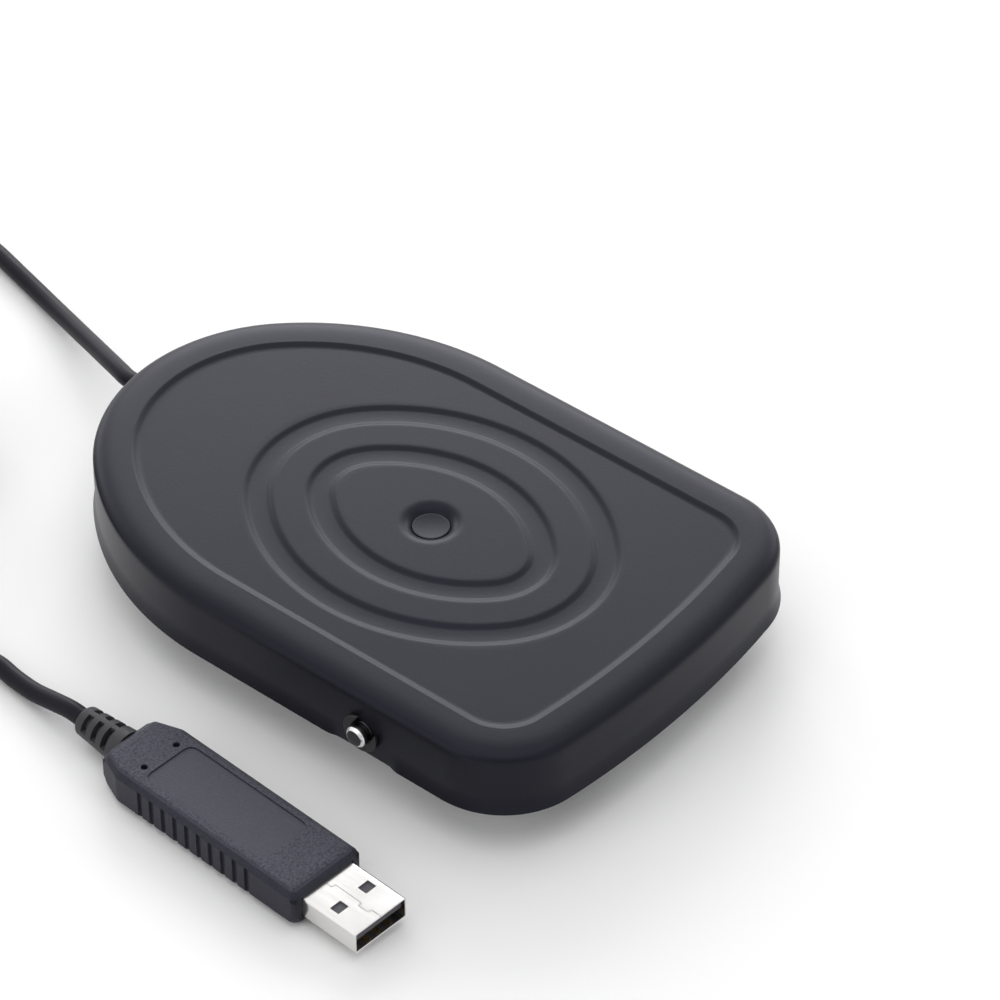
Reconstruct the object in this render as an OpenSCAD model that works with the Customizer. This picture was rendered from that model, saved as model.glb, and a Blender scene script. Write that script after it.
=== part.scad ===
// Foot pedal switch with a lead and a plug: a pressed-steel tread, hinged on a base plate,
// tips about a cross shaft and presses a small snap switch under its centre.
// Millimetres. Origin on the floor under the middle of the tread, +Y towards its round end.

/* [Tread] */
// Width over the straight side walls
tread_w = 82.4; // [78:0.2:92]
// Length from the flat front to the round rear
tread_l = 123.6; // [118:0.2:140]
// Thickness of the pressed sheet
sheet_t = 1.2; // [0.8:0.1:1.6]
// Height of the recessed panel above the floor
panel_z = 21; // [20:0.1:25]
// Height of the wall from its lip to the rim
skirt_h = 13.2; // [12:0.1:14.5]
// Radius of the rim's rounded edge
edge_r = 3.2; // [2.4:0.1:3.8]
// Width of the rim around the recessed panel
rim_w = 7.6; // [6.4:0.1:9]
// Depth of the panel below the rim
rim_step = 0.7; // [0.3:0.1:1.2]
// Width in plan of the sloped step between rim and panel
step_run = 1.1; // [0.6:0.1:1.6]
// Radius of the round rear end
rear_r = 35; // [32:0.5:38]
// Length over which the rear arc blends into the straight sides
shoulder_run = 15; // [10:0.5:20]
// Radius of the slightly bowed front edge
front_r = 190; // [150:5:260]
// Radius of the two front corners
corner_r = 16; // [13:0.5:20]
// Height of the flared lip along the bottom of the wall
lip_h = 3.5; // [2:0.1:4.5]
// Outward flare of the lip
lip_flare = 0.5; // [0.2:0.05:0.8]
// Angle that the tread tips when it is pressed down
tread_tilt = 2.5; // [1.5:0.1:3]

/* [Rings and rivet] */
// Distance from the rear end to the centre of the oval rings
ring_back = 68.2; // [64:0.2:72]
// Half length of the outer channel on its centreline
ring_outer = 33.6; // [31:0.2:36]
// Half length of the inner channel on its centreline
ring_inner = 22.6; // [20:0.2:25]
// Distance from the ring centre to the centre of a channel's end arc
ring_ends = 13; // [11:0.2:15]
// Difference between a ring's half length and half width
ring_slim = 7.4; // [6:0.1:8.5]
// Width of a channel at half its depth
channel_w = 4.2; // [3.4:0.1:5]
// Depth of a channel
channel_d = 0.6; // [0.3:0.1:1]
// Width in plan of a channel's sloped side
channel_run = 1.6; // [0.6:0.1:2]
// Width of the centre dimple at the panel
dimple_d = 11.1; // [10.8:0.1:12]
// Depth of the centre dimple
dimple_depth = 1.15; // [0.8:0.05:1.4]
// Width of the dimple's sloped side
dimple_run = 2.05; // [1.2:0.05:2.1]
// Diameter of the rivet's head
rivet_head_d = 6.8; // [5.4:0.1:7]
// Thickness of the rivet's head
rivet_head_t = 0.25; // [0.2:0.05:0.8]
// Diameter of the rivet's shank
rivet_d = 3; // [2.5:0.1:3.5]
// Diameter of the rivet's formed tail
tail_d = 4.8; // [4.2:0.1:5.4]
// Height of the rivet's formed tail
tail_h = 1; // [0.8:0.1:1.4]
// Diameter of the washer under the dimple
washer_d = 8; // [6.5:0.1:9]
// Thickness of the washer under the dimple
washer_t = 0.6; // [0.5:0.1:1]

/* [Pivot] */
// Diameter of the pivot shaft
pin_d = 4.8; // [4:0.1:5.2]
// Distance from the front of the tread to the pivot
pin_front = 35.6; // [32:0.2:40]
// Height of the pivot above the lip
pin_up = 4.8; // [4.6:0.1:5.4]
// Length of shaft outside each wall
pin_out = 2.4; // [2:0.1:3.2]
// Chamfer on the shaft's ends
pin_chamfer = 0.45; // [0.2:0.05:0.7]
// Outer diameter of the clips on the shaft
clip_d = 7.3; // [6.8:0.1:8]
// Thickness of the clips
clip_t = 0.65; // [0.5:0.05:0.8]
// Gap between a clip and the wall
clip_gap = 0.35; // [0.2:0.05:0.5]
// Width of a clip's open mouth
clip_mouth = 4.3; // [3.9:0.1:4.6]
// Depth of the clip's groove in the shaft
groove_depth = 0.65; // [0.4:0.05:0.8]
// Direction of a clip's mouth, forward of straight up
clip_turn = 30; // [0:5:60]
// Outer diameter of the spacers between the ears and the walls
spacer_d = 8.4; // [7:0.1:9]
// Length of the unflared pad of lip below the shaft
pad_l = 10.8; // [9:0.2:14]
// Length over which the flare fades in beside the pad
pad_blend = 2.5; // [1:0.1:4]

/* [Base] */
// Thickness of the base plate
base_t = 1.5; // [1.2:0.1:2]
// Distance from the tread's wall in to the base plate's edge
base_inset = 5; // [4.6:0.1:6]
// Outside radius of the bends at the tabs
bend_r = 2.5; // [2.2:0.1:3]
// Height of the feet
foot_h = 4; // [3:0.1:5]
// Diameter of a foot where it meets the base plate
foot_d = 13; // [11:0.2:15]
// Distance between the feet across the base
foot_gap_x = 46; // [40:0.5:50]
// Distance from the front of the tread to the front feet
foot_front = 19; // [17:0.5:22]
// Distance from the rear of the tread to the rear feet
foot_rear = 33; // [31:0.5:37]
// Diameter of the foot screws
foot_screw_d = 3; // [2.5:0.1:3.5]
// Radius of the rounded top of an ear
ear_r = 6; // [5:0.1:6.4]
// Width of the front stop tab
front_tab_w = 28; // [20:0.5:32]
// Height of the rubber strip above its tab
strip_top = 2.4; // [1.5:0.1:3]
// Depth of the strip's slot on its tab
strip_grip = 3; // [2:0.1:4]
// Wall of the rubber strip beside its tab
strip_wall = 0.9; // [0.7:0.05:1]
// Diameter of the two rear stop bumpers
stop_d = 8; // [7:0.2:9]
// Distance of each stop bumper from the middle
stop_x = 18; // [16.5:0.5:20]

/* [Return spring] */
// Gap between the outer channel and the cap of the spring
cap_gap = 1.3; // [1:0.1:1.6]
// Outer diameter of the spring
spring_d = 11.8; // [11:0.1:12.2]
// Diameter of the spring's wire
spring_wire = 1.2; // [1:0.05:1.3]
// Number of turns of the spring
spring_turns = 5.5; // [4.5:0.5:6]
// Thickness of the flange of each spring seat
seat_t = 1; // [0.8:0.1:1.4]
// Height of the boss of each spring seat
boss_h = 2.5; // [2:0.1:3]

/* [Switch] */
// Length of the switch body
switch_l = 12.8; // [12:0.1:14]
// Thickness of the switch body
switch_w = 5.8; // [5.4:0.1:6.4]
// Height of the switch body
switch_h = 6.5; // [6.1:0.1:6.8]
// Height of the switch's cover, the upper part of the body
cover_h = 2; // [1.6:0.1:2.2]
// Distance from the middle of the body to the plunger
plunger_shift = 1.9; // [1:0.1:2.2]
// Diameter of the plunger
plunger_d = 2.2; // [1.8:0.1:2.6]
// Height of the plunger above the body at rest
plunger_up = 1.1; // [1:0.05:1.2]
// Gap between the plunger and the rivet's tail at rest
plunger_gap = 0.25; // [0.2:0.05:0.4]
// Distance between the switch's two screw holes
switch_pitch = 6.5; // [6:0.1:7]
// Diameter of the switch's screws
switch_screw_d = 1.9; // [1.6:0.1:2]
// Height of the switch's screw holes above the bottom of the body
switch_hole_up = 1.7; // [1.6:0.1:2]
// Length of the terminals below the body
terminal_l = 2.6; // [2:0.1:3]
// Thickness of the switch bracket
bracket_t = 1; // [0.8:0.1:1.2]
// Length of the bracket's foot
bracket_foot = 10; // [9:0.2:12]

/* [Lead] */
// Diameter of the lead
cable_d = 3.5; // [3.2:0.1:3.6]
// Distance of the lead's exit from the middle of the tread
gland_x = 4.2; // [3.6:0.2:4.8]
// Height of the lead's exit above the base plate
gland_up = 4.8; // [4.7:0.1:5.2]
// Width of the rear cable tab
rear_tab_w = 14; // [12:0.5:14]
// Diameter of the gland's groove in the rear tab
gland_d = 6.4; // [6:0.1:6.6]
// Diameter of the gland's flanges
gland_flange_d = 7.6; // [7.4:0.1:7.8]
// Thickness of the gland's flanges
gland_flange_t = 1.5; // [1.2:0.1:1.8]
// Length of the gland's tapered nose
nose_l = 6; // [5:0.5:8]
// Diameter of the nose at its outer end
nose_d = 4.6; // [4.4:0.1:5]
// Gap between the spring's seat and the clamp on the lead
clamp_gap = 1.6; // [1.2:0.1:2]
// Length of jacket in front of the clamp
jacket_in = 0.5; // [0.3:0.1:1]
// Diameter of the lead's inner wires
wire_d = 1.2; // [1:0.05:1.4]

/* [Coil] */
// Turns in each layer of the coil
coil_leg = 2.6875; // [2.1875:0.25:2.9375]
// Radius of the innermost turn on its centreline
coil_in_r = 14.5; // [14:0.5:18]
// Step between turns in a layer
coil_pitch = 4.5; // [4.4:0.1:5]
// Step between layers
coil_layer = 4.2; // [4.1:0.1:4.6]
// Thickness of the tie around the coil
tie_t = 0.8; // [0.6:0.1:1]
// Width of the tie around the coil
tie_w = 5; // [3:0.5:8]
// Clearance between the tie and the coil
tie_gap = 0.3; // [0.2:0.05:0.5]

/* [Plug] */
// Width of the plug's moulded grip
grip_w = 16; // [15.5:0.1:18]
// Height of the plug's moulded grip
grip_h = 8; // [7.6:0.1:9]
// Length of the grip's straight part
grip_l = 42.8; // [42:0.2:46]
// Length of the grip's tapered rear end
taper_l = 5.4; // [5:0.2:7]
// Width of the grip at its rear end
taper_w = 12; // [10.6:0.2:13]
// Bevel along the grip's edges
grip_bevel = 1.1; // [0.6:0.1:1.4]
// Number of grooves on each side of the grip
groove_n = 10; // [6:1:11]
// Distance between grooves
groove_pitch = 2.87; // [2.4:0.01:2.9]
// Width of a groove
groove_w = 1; // [0.6:0.1:1.3]
// Depth of a groove
grip_groove_depth = 0.5; // [0.3:0.05:0.7]
// Length of the bare recess on top of the grip
recess_l = 28.8; // [24:0.2:29]
// Width of the bare recess on top of the grip
recess_w = 11.2; // [9:0.2:12]
// Depth of the bare recess
recess_depth = 0.25; // [0.15:0.05:0.4]
// Width of the metal shell
shell_w = 12; // [11.8:0.1:12.2]
// Height of the metal shell
shell_h = 4.5; // [4.4:0.1:4.6]
// Length of the metal shell outside the grip
shell_out = 12.4; // [11.6:0.1:13]
// Length of the metal shell inside the grip
shell_in = 6; // [5:0.5:8]
// Thickness of the metal shell
shell_t = 0.3; // [0.25:0.05:0.4]
// Thickness of the tongue
tongue_t = 1.85; // [1.7:0.05:1.95]
// Length of the strain relief
relief_l = 11; // [10:0.2:13]
// Diameter of the strain relief at the grip
relief_d = 7.2; // [6.6:0.1:7.4]
// Diameter of the strain relief at the lead
relief_end_d = 5.6; // [5:0.1:6]

/* [Fits] */
// Radial clearance of parts that turn or slide
run_gap = 0.05; // [0.03:0.01:0.08]
// Radial clearance of parts that are fixed
fit_gap = 0.05; // [0.02:0.01:0.08]

/* [Hidden] */
$fn = 64;

black_steel = [0.2, 0.2, 0.22];
zinc = [0.72, 0.73, 0.74];
nickel = [0.8, 0.79, 0.77];
rubber = [0.09, 0.09, 0.1];
black_plastic = [0.17, 0.17, 0.19];
dark_resin = [0.1, 0.1, 0.11];
white_nylon = [0.85, 0.84, 0.8];
board_green = [0.08, 0.28, 0.16];
brass = [0.78, 0.64, 0.34];

// Cutting tools run past the faces they cut by this much
past = 1;

// Tread: plan arcs and levels
half_w = tread_w / 2;
rear_y = tread_l / 2;
front_y = -rear_y;
rear_cy = rear_y - rear_r;
side_y = rear_cy - shoulder_run;
shoulder_r = (half_w * half_w - rear_r * rear_r + shoulder_run * shoulder_run)
    / (2 * (half_w - rear_r));
shoulder_cx = half_w - shoulder_r;
hip = atan2(shoulder_run, -shoulder_cx);
bow_cy = front_y + front_r;
corner_cx = half_w - corner_r;
corner_cy = bow_cy - sqrt(pow(front_r - corner_r, 2) - corner_cx * corner_cx);
bow = asin(corner_cx / (front_r - corner_r));
rim_z = panel_z + rim_step;
lip_z = rim_z - skirt_h;
under_z = panel_z - sheet_t;
step_out = rim_w - step_run / 2;
step_in = rim_w + step_run / 2;
// Steps along each arc of the outline and of the edge bend
shoulder_steps = 6;
rear_steps = 10;
corner_steps = 6;
front_steps = 6;
edge_steps = 5;

// Rings
ring_y = rear_y - ring_back;
ring_side = ring_slim * (2 * ring_ends - ring_slim) / (2 * (ring_ends - ring_slim));
ring_link = norm([ring_ends, ring_side]);
ring_turn = atan2(ring_ends, ring_side);

// Pivot
pin_y = front_y + pin_front;
pin_z = lip_z + pin_up;
groove_r = pin_d / 2 - groove_depth;
shaft_half = half_w + pin_out;

// Points along a straight side, close together where the lip runs flat below the shaft
pad_ends = [pin_y + pad_l / 2, pin_y - pad_l / 2];
pad_fades = [pad_ends[0] + pad_blend, pad_ends[1] - pad_blend];
side_marks = concat(
    [for (i = [1 : 3]) side_y + (pad_fades[0] - side_y) * i / 4],
    [pad_fades[0], pad_ends[0], pad_ends[1], pad_fades[1], (pad_fades[1] + corner_cy) / 2]);

// Base
base_z = foot_h;
base_top = base_z + base_t;
ear_x = half_w - base_inset;
front_tab_y = front_y + edge_r + strip_wall + 2 * fit_gap;
rear_tab_y = rear_y - base_inset;
tab_leg = 8;
tab_relief = 1;
screw_head_d = 1.85 * foot_screw_d;
screw_head_h = 0.55 * foot_screw_d;
foot_recess = screw_head_h + 0.6;
foot_end_d = foot_d - 2;
strip_z = rim_z - sheet_t - fit_gap;
front_tab_top = strip_z - strip_top;
stop_gap = 0.2;

// Return spring, behind the outer channel, with a stop bumper each side of it
cap_d = spring_d + 1;
spring_y = ring_y + ring_outer + (channel_w + channel_run) / 2 + cap_gap + cap_d / 2;
stop_top = under_z - (spring_y - pin_y + stop_d / 2) * sin(tread_tilt) - stop_gap;
boss_d = spring_d - 2 * spring_wire - 1;
spring_low = base_top + seat_t + spring_wire / 2 + fit_gap;
spring_high = under_z - seat_t - spring_wire / 2 - fit_gap;

// Switch, hung below the rivet's tail
dimple_under = under_z - dimple_depth;
tail_z = dimple_under - washer_t - tail_h;
plunger_top = tail_z - plunger_gap;
switch_top = plunger_top - plunger_up;
switch_z = switch_top - switch_h;
cover_z = switch_top - cover_h;
switch_y = ring_y + plunger_shift;
plunger_travel = (ring_y - pin_y) * sin(tread_tilt);
plunger_foot = 0.8;
plunger_foot_d = plunger_d + 1;
plunger_room = plunger_foot + plunger_travel + 0.5;
switch_hole_z = switch_z + switch_hole_up;
terminal_t = 0.6;
terminal_w = 1.2;
terminal_pitch = 4.4;
bracket_x = switch_w / 2;
bracket_l = switch_l - 1;
bracket_top = switch_hole_z + 3;
bracket_screw_x = bracket_x + bracket_t + bracket_foot / 2 + 0.5;
nut_t = 1.2;
nut_d = 4.4;

// Lead
cable_r = cable_d / 2;
gland_z = base_top + gland_up;
gland_y = rear_tab_y;
nose_y = gland_y + gland_flange_t + nose_l;
nose_root_d = gland_d;
notch_w = nose_root_d + 3;
notch_top = gland_z + nose_root_d / 2 + (rear_y - pin_y) * sin(tread_tilt) + 0.5;
clamp_l = 6;
clamp_y = spring_y + cap_d / 2 + clamp_gap + clamp_l / 2;
jacket_y = clamp_y - clamp_l / 2 - jacket_in;
clamp_wall = 1.4;
clamp_foot_t = 2.2;
clamp_screw_x = gland_x + cable_r + clamp_wall + 4;
clamp_foot_end = clamp_screw_x + 3.6;

// Coil, wound in and out in four layers, beyond the left of the pedal's round end
coil_x = -41.7;
coil_y = 105.6;
coil_layers = 4;
coil_rings = 24;
coil_climb = 0.5;
coil_cycle = coil_leg + coil_climb;
coil_turns = coil_layers * coil_cycle - coil_climb;
coil_out_r = coil_in_r + coil_pitch * coil_leg;
coil_z = tie_t + tie_gap + cable_r;
coil_start = 90;
coil_stop = coil_start + 360 * coil_turns;
coil_end_turn = [cos(coil_stop + 90), sin(coil_stop + 90), 0];
tie_angle = -30;

// Plug, lying on the floor beside the tread with its mouth forward
plug_x = -67.1;
plug_y = -52.4;
plug_yaw = -3.7;
plug_z = grip_h / 2;
grip_end = shell_out + grip_l;
taper_end = grip_end + taper_l;
relief_end = taper_end + relief_l;
grip_first = 11.2;
groove_top = grip_h - grip_bevel - 0.1;
recess_start = shell_out + 9.6;
eye_d = 1.3;
eye_depth = 1;
eye_x = 3.75;
eye_y = grip_end - 2.7;
shell_corner = 0.7;
pocket_w = shell_w + 2 * fit_gap;
pocket_h = shell_h + 2 * fit_gap;
board_l = 24;
board_t = 1;
board_start = shell_out + shell_in + 0.1;
pocket_end = board_start + board_l + 0.4;
tongue_w = shell_w - 2 * shell_t - 2 * fit_gap;
tongue_top = plug_z + shell_h / 2 - shell_t - fit_gap;
tongue_start = 0.6;
contact_n = 4;
contact_pitch = 2.5;
contact_w = 1;
contact_t = 0.25;
contact_l = 8;

// Route of the lead from the gland to the coil, then from the coil to the plug
lead_points = [[4.6, 71, 9.9], [5.7, 74, 9.35], [7.3, 77.8, 8.35], [10.05, 84, 6.5], [12.6, 90, 4.85],
    [15.05, 96, 3.4], [17.4, 102.5, 2.3], [19.4, 109, 1.8], [21.2, 116, 1.8], [22.85, 122.5, 1.8],
    [23.9, 128.5, 1.8], [23.4, 134.5, 1.8], [20.8, 140, 1.8], [16, 144, 1.8], [10, 146, 1.8],
    [3.5, 146, 1.8], [-4, 144.2, 1.8], [-13, 140.6, 2], [-21.5, 136.8, 2.3], [-28.5, 134, 2.6]];
tail_points = [[-68.2, 94, 14.4], [-67.7, 86, 12.2], [-66.8, 78, 9.4], [-65.4, 70, 6.6],
    [-63.7, 62, 4.2], [-62, 55, 2.5], [-60.8, 48.5, 1.8], [-60.5, 42, 1.8], [-61.2, 37.2, 1.8],
    [-61.85, 31.8, 2.3], [-62.1, 26.6, 3.3]];
// Route of each wire from the jacket, past the side of the spring, to its terminal
wire_x = spring_d / 2 + 3;
wire_y = switch_y + terminal_pitch + terminal_w / 2;
wire_run = spring_y - wire_y;
wire_drop = gland_z - base_top - 0.9 * wire_d;
wire_points = [[gland_x + 0.6 * wire_d, jacket_y - 1.1 * wire_d, gland_z],
    [gland_x + 2.1 * wire_d, jacket_y - 2.75 * wire_d, gland_z - 0.1 * wire_drop],
    [wire_x - 0.85 * wire_d, spring_y + 1.75 * wire_d, gland_z - 0.2 * wire_drop],
    [wire_x, spring_y, gland_z - 0.3 * wire_drop],
    [wire_x + 0.7 * wire_d, spring_y - 0.13 * wire_run, gland_z - 0.54 * wire_drop],
    [wire_x + 0.6 * wire_d, spring_y - 0.3 * wire_run, gland_z - 0.78 * wire_drop],
    [wire_x - 0.3 * wire_d, spring_y - 0.48 * wire_run, gland_z - 0.95 * wire_drop],
    [wire_x - 3.3 * wire_d, spring_y - 0.67 * wire_run, gland_z - wire_drop]];
wire_z = switch_z - terminal_l / 2;
wire_side = -(terminal_t + wire_d) / 2;
wire_ends = [
    [[-1.5 * wire_d, wire_y + 4 * wire_d, wire_z], [-1.5 * wire_d, wire_y, wire_z],
        [wire_side, switch_y + terminal_w, wire_z], [wire_side, switch_y, wire_z]],
    [[0, wire_y + 3 * wire_d, wire_z], [0, wire_y, wire_z]]];

// Points of an arc about c, without its last point unless whole is true
function arc(c, r, a0, a1, steps, whole = false) =
    [for (i = [0 : steps - (whole ? 0 : 1)])
        let (a = a0 + (a1 - a0) * i / steps) c + r * [cos(a), sin(a)]];

// The tread's plan outline, drawn in by inset, anticlockwise from the right shoulder
function d_outline(inset) = concat(
    arc([shoulder_cx, side_y], shoulder_r - inset, 0, hip, shoulder_steps),
    arc([0, rear_cy], rear_r - inset, hip, 180 - hip, rear_steps),
    arc([-shoulder_cx, side_y], shoulder_r - inset, 180 - hip, 180, shoulder_steps, true),
    [for (y = side_marks) [inset - half_w, y]],
    arc([-corner_cx, corner_cy], corner_r - inset, 180, 270 - bow, corner_steps),
    arc([0, bow_cy], front_r - inset, 270 - bow, 270 + bow, front_steps),
    arc([corner_cx, corner_cy], corner_r - inset, 270 + bow, 360, corner_steps, true),
    [for (i = [1 : len(side_marks)]) [half_w - inset, side_marks[len(side_marks) - i]]]);

// Distance from the ring centre, along direction u, to an oval of four arcs
function oval_reach(half_length, u) =
    let (
        end_r = half_length - ring_ends,
        across = abs(u.x),
        along = abs(u.y),
        side_reach = sqrt(pow(end_r + ring_link, 2) - pow(ring_side * along, 2))
            - ring_side * across)
    atan2(side_reach * along, side_reach * across + ring_side) <= ring_turn
        ? side_reach
        : ring_ends * along + sqrt(end_r * end_r - pow(ring_ends * across, 2));

// Directions from the ring centre to the edge of the panel, one for each outline point
panel_edge = d_outline(step_in);
panel_rays = [for (p = panel_edge) unit(p - [0, ring_y])];

// Rows of points that the tread's surface runs through, each at one height
function circle_row(r, z) = [for (u = panel_rays) [r * u.x, ring_y + r * u.y, z]];
function oval_row(half_length, z) =
    [for (u = panel_rays)
        let (r = oval_reach(half_length, u)) [r * u.x, ring_y + r * u.y, z]];
function outline_row(inset, z) = [for (p = d_outline(inset)) [p.x, p.y, z]];

// The lip flares out all round, except on the pads below the shaft
function lip_row(inset) =
    let (wall = d_outline(inset), flared = d_outline(inset - lip_flare))
    [for (i = [0 : len(wall) - 1])
        let (on_pad = abs(wall[i].y - pin_y) < pad_l / 2 + past / 10,
            p = on_pad ? wall[i] : flared[i]) [p.x, p.y, lip_z]];

// Skins a closed band of rows, each row a closed loop, into one solid
module loft(rows) {
    n = len(rows);
    m = len(rows[0]);
    faces = [for (i = [0 : n - 1], j = [0 : m - 1])
        let (a = i * m + j, b = i * m + (j + 1) % m,
            c = (i + 1) % n * m + (j + 1) % m, d = (i + 1) % n * m + j)
        each [[a, b, c], [a, c, d]]];
    polyhedron([for (row = rows) each row], faces);
}

// A flat plate with the tread's outline drawn in by inset
module d_plate(inset, z, t) translate([0, 0, z]) linear_extrude(t) polygon(d_outline(inset));

module rounded_rect(w, h, r) {
    square([w - 2 * r, h], center = true);
    square([w, h - 2 * r], center = true);
    for (x = [-1, 1], y = [-1, 1]) translate([x * (w / 2 - r), y * (h / 2 - r)]) circle(r);
}

// A pan-head screw along -Z with the underside of its head at z = 0
module pan_screw(d, length, head_d, head_h) {
    translate([0, 0, -length]) cylinder(d = d, h = length);
    difference() {
        cylinder(d = head_d, h = head_h);
        for (a = [0, 90]) rotate([0, 0, a])
            translate([-head_d * 0.3, -head_d * 0.07, head_h * 0.55])
                cube([head_d * 0.6, head_d * 0.14, head_h]);
    }
}

// Sweeps a round tube through the points of a path, with set headings at its ends
function unit(v) = v / norm(v);
function heading(path, i) = unit(path[min(i + 1, len(path) - 1)] - path[max(i - 1, 0)]);
function tube_ring(c, t, r, n) =
    let (side = unit(cross(t, [0, 0, 1])), up = cross(side, t))
    [for (k = [0 : n - 1]) c + r * (cos(360 * k / n) * side + sin(360 * k / n) * up)];

module tube(path, d, n, first = undef, final = undef) {
    last = len(path) - 1;
    turns = [for (i = [0 : last])
        i == 0 && !is_undef(first) ? first
        : i == last && !is_undef(final) ? final
        : heading(path, i)];
    points = [for (i = [0 : last]) each tube_ring(path[i], turns[i], d / 2, n)];
    walls = [for (i = [0 : last - 1], k = [0 : n - 1])
        let (a = i * n + k, b = i * n + (k + 1) % n) each [[a, b, b + n], [a, b + n, a + n]]];
    caps = [for (k = [1 : n - 2]) each
        [[0, k + 1, k], [last * n, last * n + k, last * n + k + 1]]];
    polyhedron(points, concat(walls, caps));
}

// Tread and the pieces that move with it

// One skin of the pressed sheet, from the rivet hole out to the edge bend, drop below the top
function panel_rows(drop) =
    let (top = panel_z - drop, wide = (channel_w + channel_run) / 2,
        narrow = (channel_w - channel_run) / 2)
    concat(
        [circle_row(rivet_d / 2 + fit_gap, top - dimple_depth),
            circle_row(dimple_d / 2 - dimple_run, top - dimple_depth),
            circle_row(dimple_d / 2, top)],
        [for (half_length = [ring_inner, ring_outer]) each
            [oval_row(half_length - wide, top), oval_row(half_length - narrow, top - channel_d),
                oval_row(half_length + narrow, top - channel_d),
                oval_row(half_length + wide, top)]],
        [outline_row(step_in, top), outline_row(step_out, top + rim_step)]);

// The rounded edge of one skin, from the rim down to the wall
function edge_rows(r) =
    [for (i = [0 : edge_steps]) let (a = 90 * i / edge_steps)
        outline_row(edge_r - r * sin(a), rim_z - edge_r + r * cos(a))];

function backwards(rows) = [for (i = [1 : len(rows)]) rows[len(rows) - i]];

module tread() color(black_steel) difference() {
    loft(concat(
        panel_rows(0), edge_rows(edge_r),
        [outline_row(0, lip_z + lip_h), lip_row(0), lip_row(sheet_t),
            outline_row(sheet_t, lip_z + lip_h)],
        backwards(concat(panel_rows(sheet_t), edge_rows(edge_r - sheet_t)))));
    translate([0, pin_y, pin_z]) rotate([0, 90, 0])
        cylinder(d = pin_d + 2 * run_gap, h = 2 * shaft_half, center = true);
    translate([gland_x, rear_y, 0]) rotate([90, 0, 0])
        linear_extrude(2 * base_inset, center = true) {
            translate([-notch_w / 2, lip_z - past])
                square([notch_w, notch_top - notch_w / 2 - lip_z + past]);
            translate([0, notch_top - notch_w / 2]) circle(d = notch_w);
        }
}

module tread_rivet() color(black_steel) translate([0, ring_y, 0]) {
    head_z = panel_z - dimple_depth;
    dish = rivet_head_t / 3;
    rotate_extrude() polygon([[0, tail_z], [tail_d / 4, tail_z], [tail_d / 2, tail_z + tail_h / 2],
        [tail_d / 2, tail_z + tail_h], [rivet_d / 2, tail_z + tail_h], [rivet_d / 2, head_z],
        [rivet_head_d / 2, head_z], [rivet_head_d / 2, head_z + rivet_head_t],
        [rivet_head_d * 0.42, head_z + rivet_head_t],
        [rivet_head_d * 0.2, head_z + rivet_head_t - dish], [0, head_z + rivet_head_t - dish]]);
}

module rivet_washer() color(zinc) translate([0, ring_y, dimple_under - washer_t])
    difference() {
        cylinder(d = washer_d, h = washer_t);
        translate([0, 0, -past]) cylinder(d = rivet_d + 2 * fit_gap, h = washer_t + 2 * past);
    }

// A flanged locator for one end of the spring, flange at z = 0 and boss up
module spring_locator() {
    cylinder(d = cap_d, h = seat_t);
    cylinder(d = boss_d, h = seat_t + boss_h);
}

module spring_cap() color(white_nylon) translate([0, spring_y, under_z])
    rotate([180, 0, 0]) spring_locator();

// Base and hinge

// A tab bent up from the base plate, its outer face at x = 0, up to height top
module bent_tab(width, top) {
    rotate([90, 0, 0]) linear_extrude(width, center = true) {
        translate([-bend_r - tab_leg, base_z]) square([tab_leg, base_t]);
        translate([-bend_r, base_z + bend_r]) intersection() {
            difference() {
                circle(bend_r);
                circle(bend_r - base_t);
            }
            translate([0, -bend_r]) square(bend_r);
        }
        translate([-base_t, base_z + bend_r]) square([base_t, top - base_z - bend_r]);
    }
}

// Room cut from the plate outside a tab's bend and in relief notches beside it
module tab_room(width) {
    translate([-bend_r, -width / 2 - tab_relief, base_z - past])
        cube([bend_r + base_inset, width + 2 * tab_relief, base_t + 2 * past]);
}

module at_front_tab() translate([0, front_tab_y, 0]) rotate([0, 0, -90]) children();
module at_rear_tab() translate([gland_x, rear_tab_y, 0]) rotate([0, 0, 90]) children();
module at_ears() for (side = [0, 1]) mirror([side, 0, 0])
    translate([ear_x, pin_y, 0]) children();
module at_feet() for (x = [-1, 1], y = [front_y + foot_front, rear_y - foot_rear])
    translate([x * foot_gap_x / 2, y, 0]) children();

module base_plate() color(zinc) difference() {
    union() {
        difference() {
            d_plate(base_inset, base_z, base_t);
            at_front_tab() tab_room(front_tab_w);
            at_rear_tab() tab_room(rear_tab_w);
            at_ears() tab_room(2 * ear_r);
        }
        at_front_tab() bent_tab(front_tab_w, front_tab_top);
        at_rear_tab() bent_tab(rear_tab_w, gland_z + rear_tab_w / 2 - 2);
        at_ears() {
            bent_tab(2 * ear_r, pin_z);
            translate([-base_t, 0, pin_z]) rotate([0, 90, 0]) cylinder(r = ear_r, h = base_t);
        }
    }
    translate([0, pin_y, pin_z]) rotate([0, 90, 0])
        cylinder(d = pin_d + 2 * fit_gap, h = tread_w, center = true);
    translate([gland_x, rear_tab_y, gland_z]) rotate([90, 0, 0])
        cylinder(d = gland_d + 2 * fit_gap, h = 4 * base_t, center = true);
    at_feet() screw_hole(foot_screw_d);
    translate([bracket_screw_x, switch_y, 0]) screw_hole(foot_screw_d);
    translate([clamp_screw_x, clamp_y, 0]) screw_hole(foot_screw_d);
}

module screw_hole(d) translate([0, 0, base_z - past])
    cylinder(d = d + 2 * fit_gap, h = base_t + 2 * past);

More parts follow.
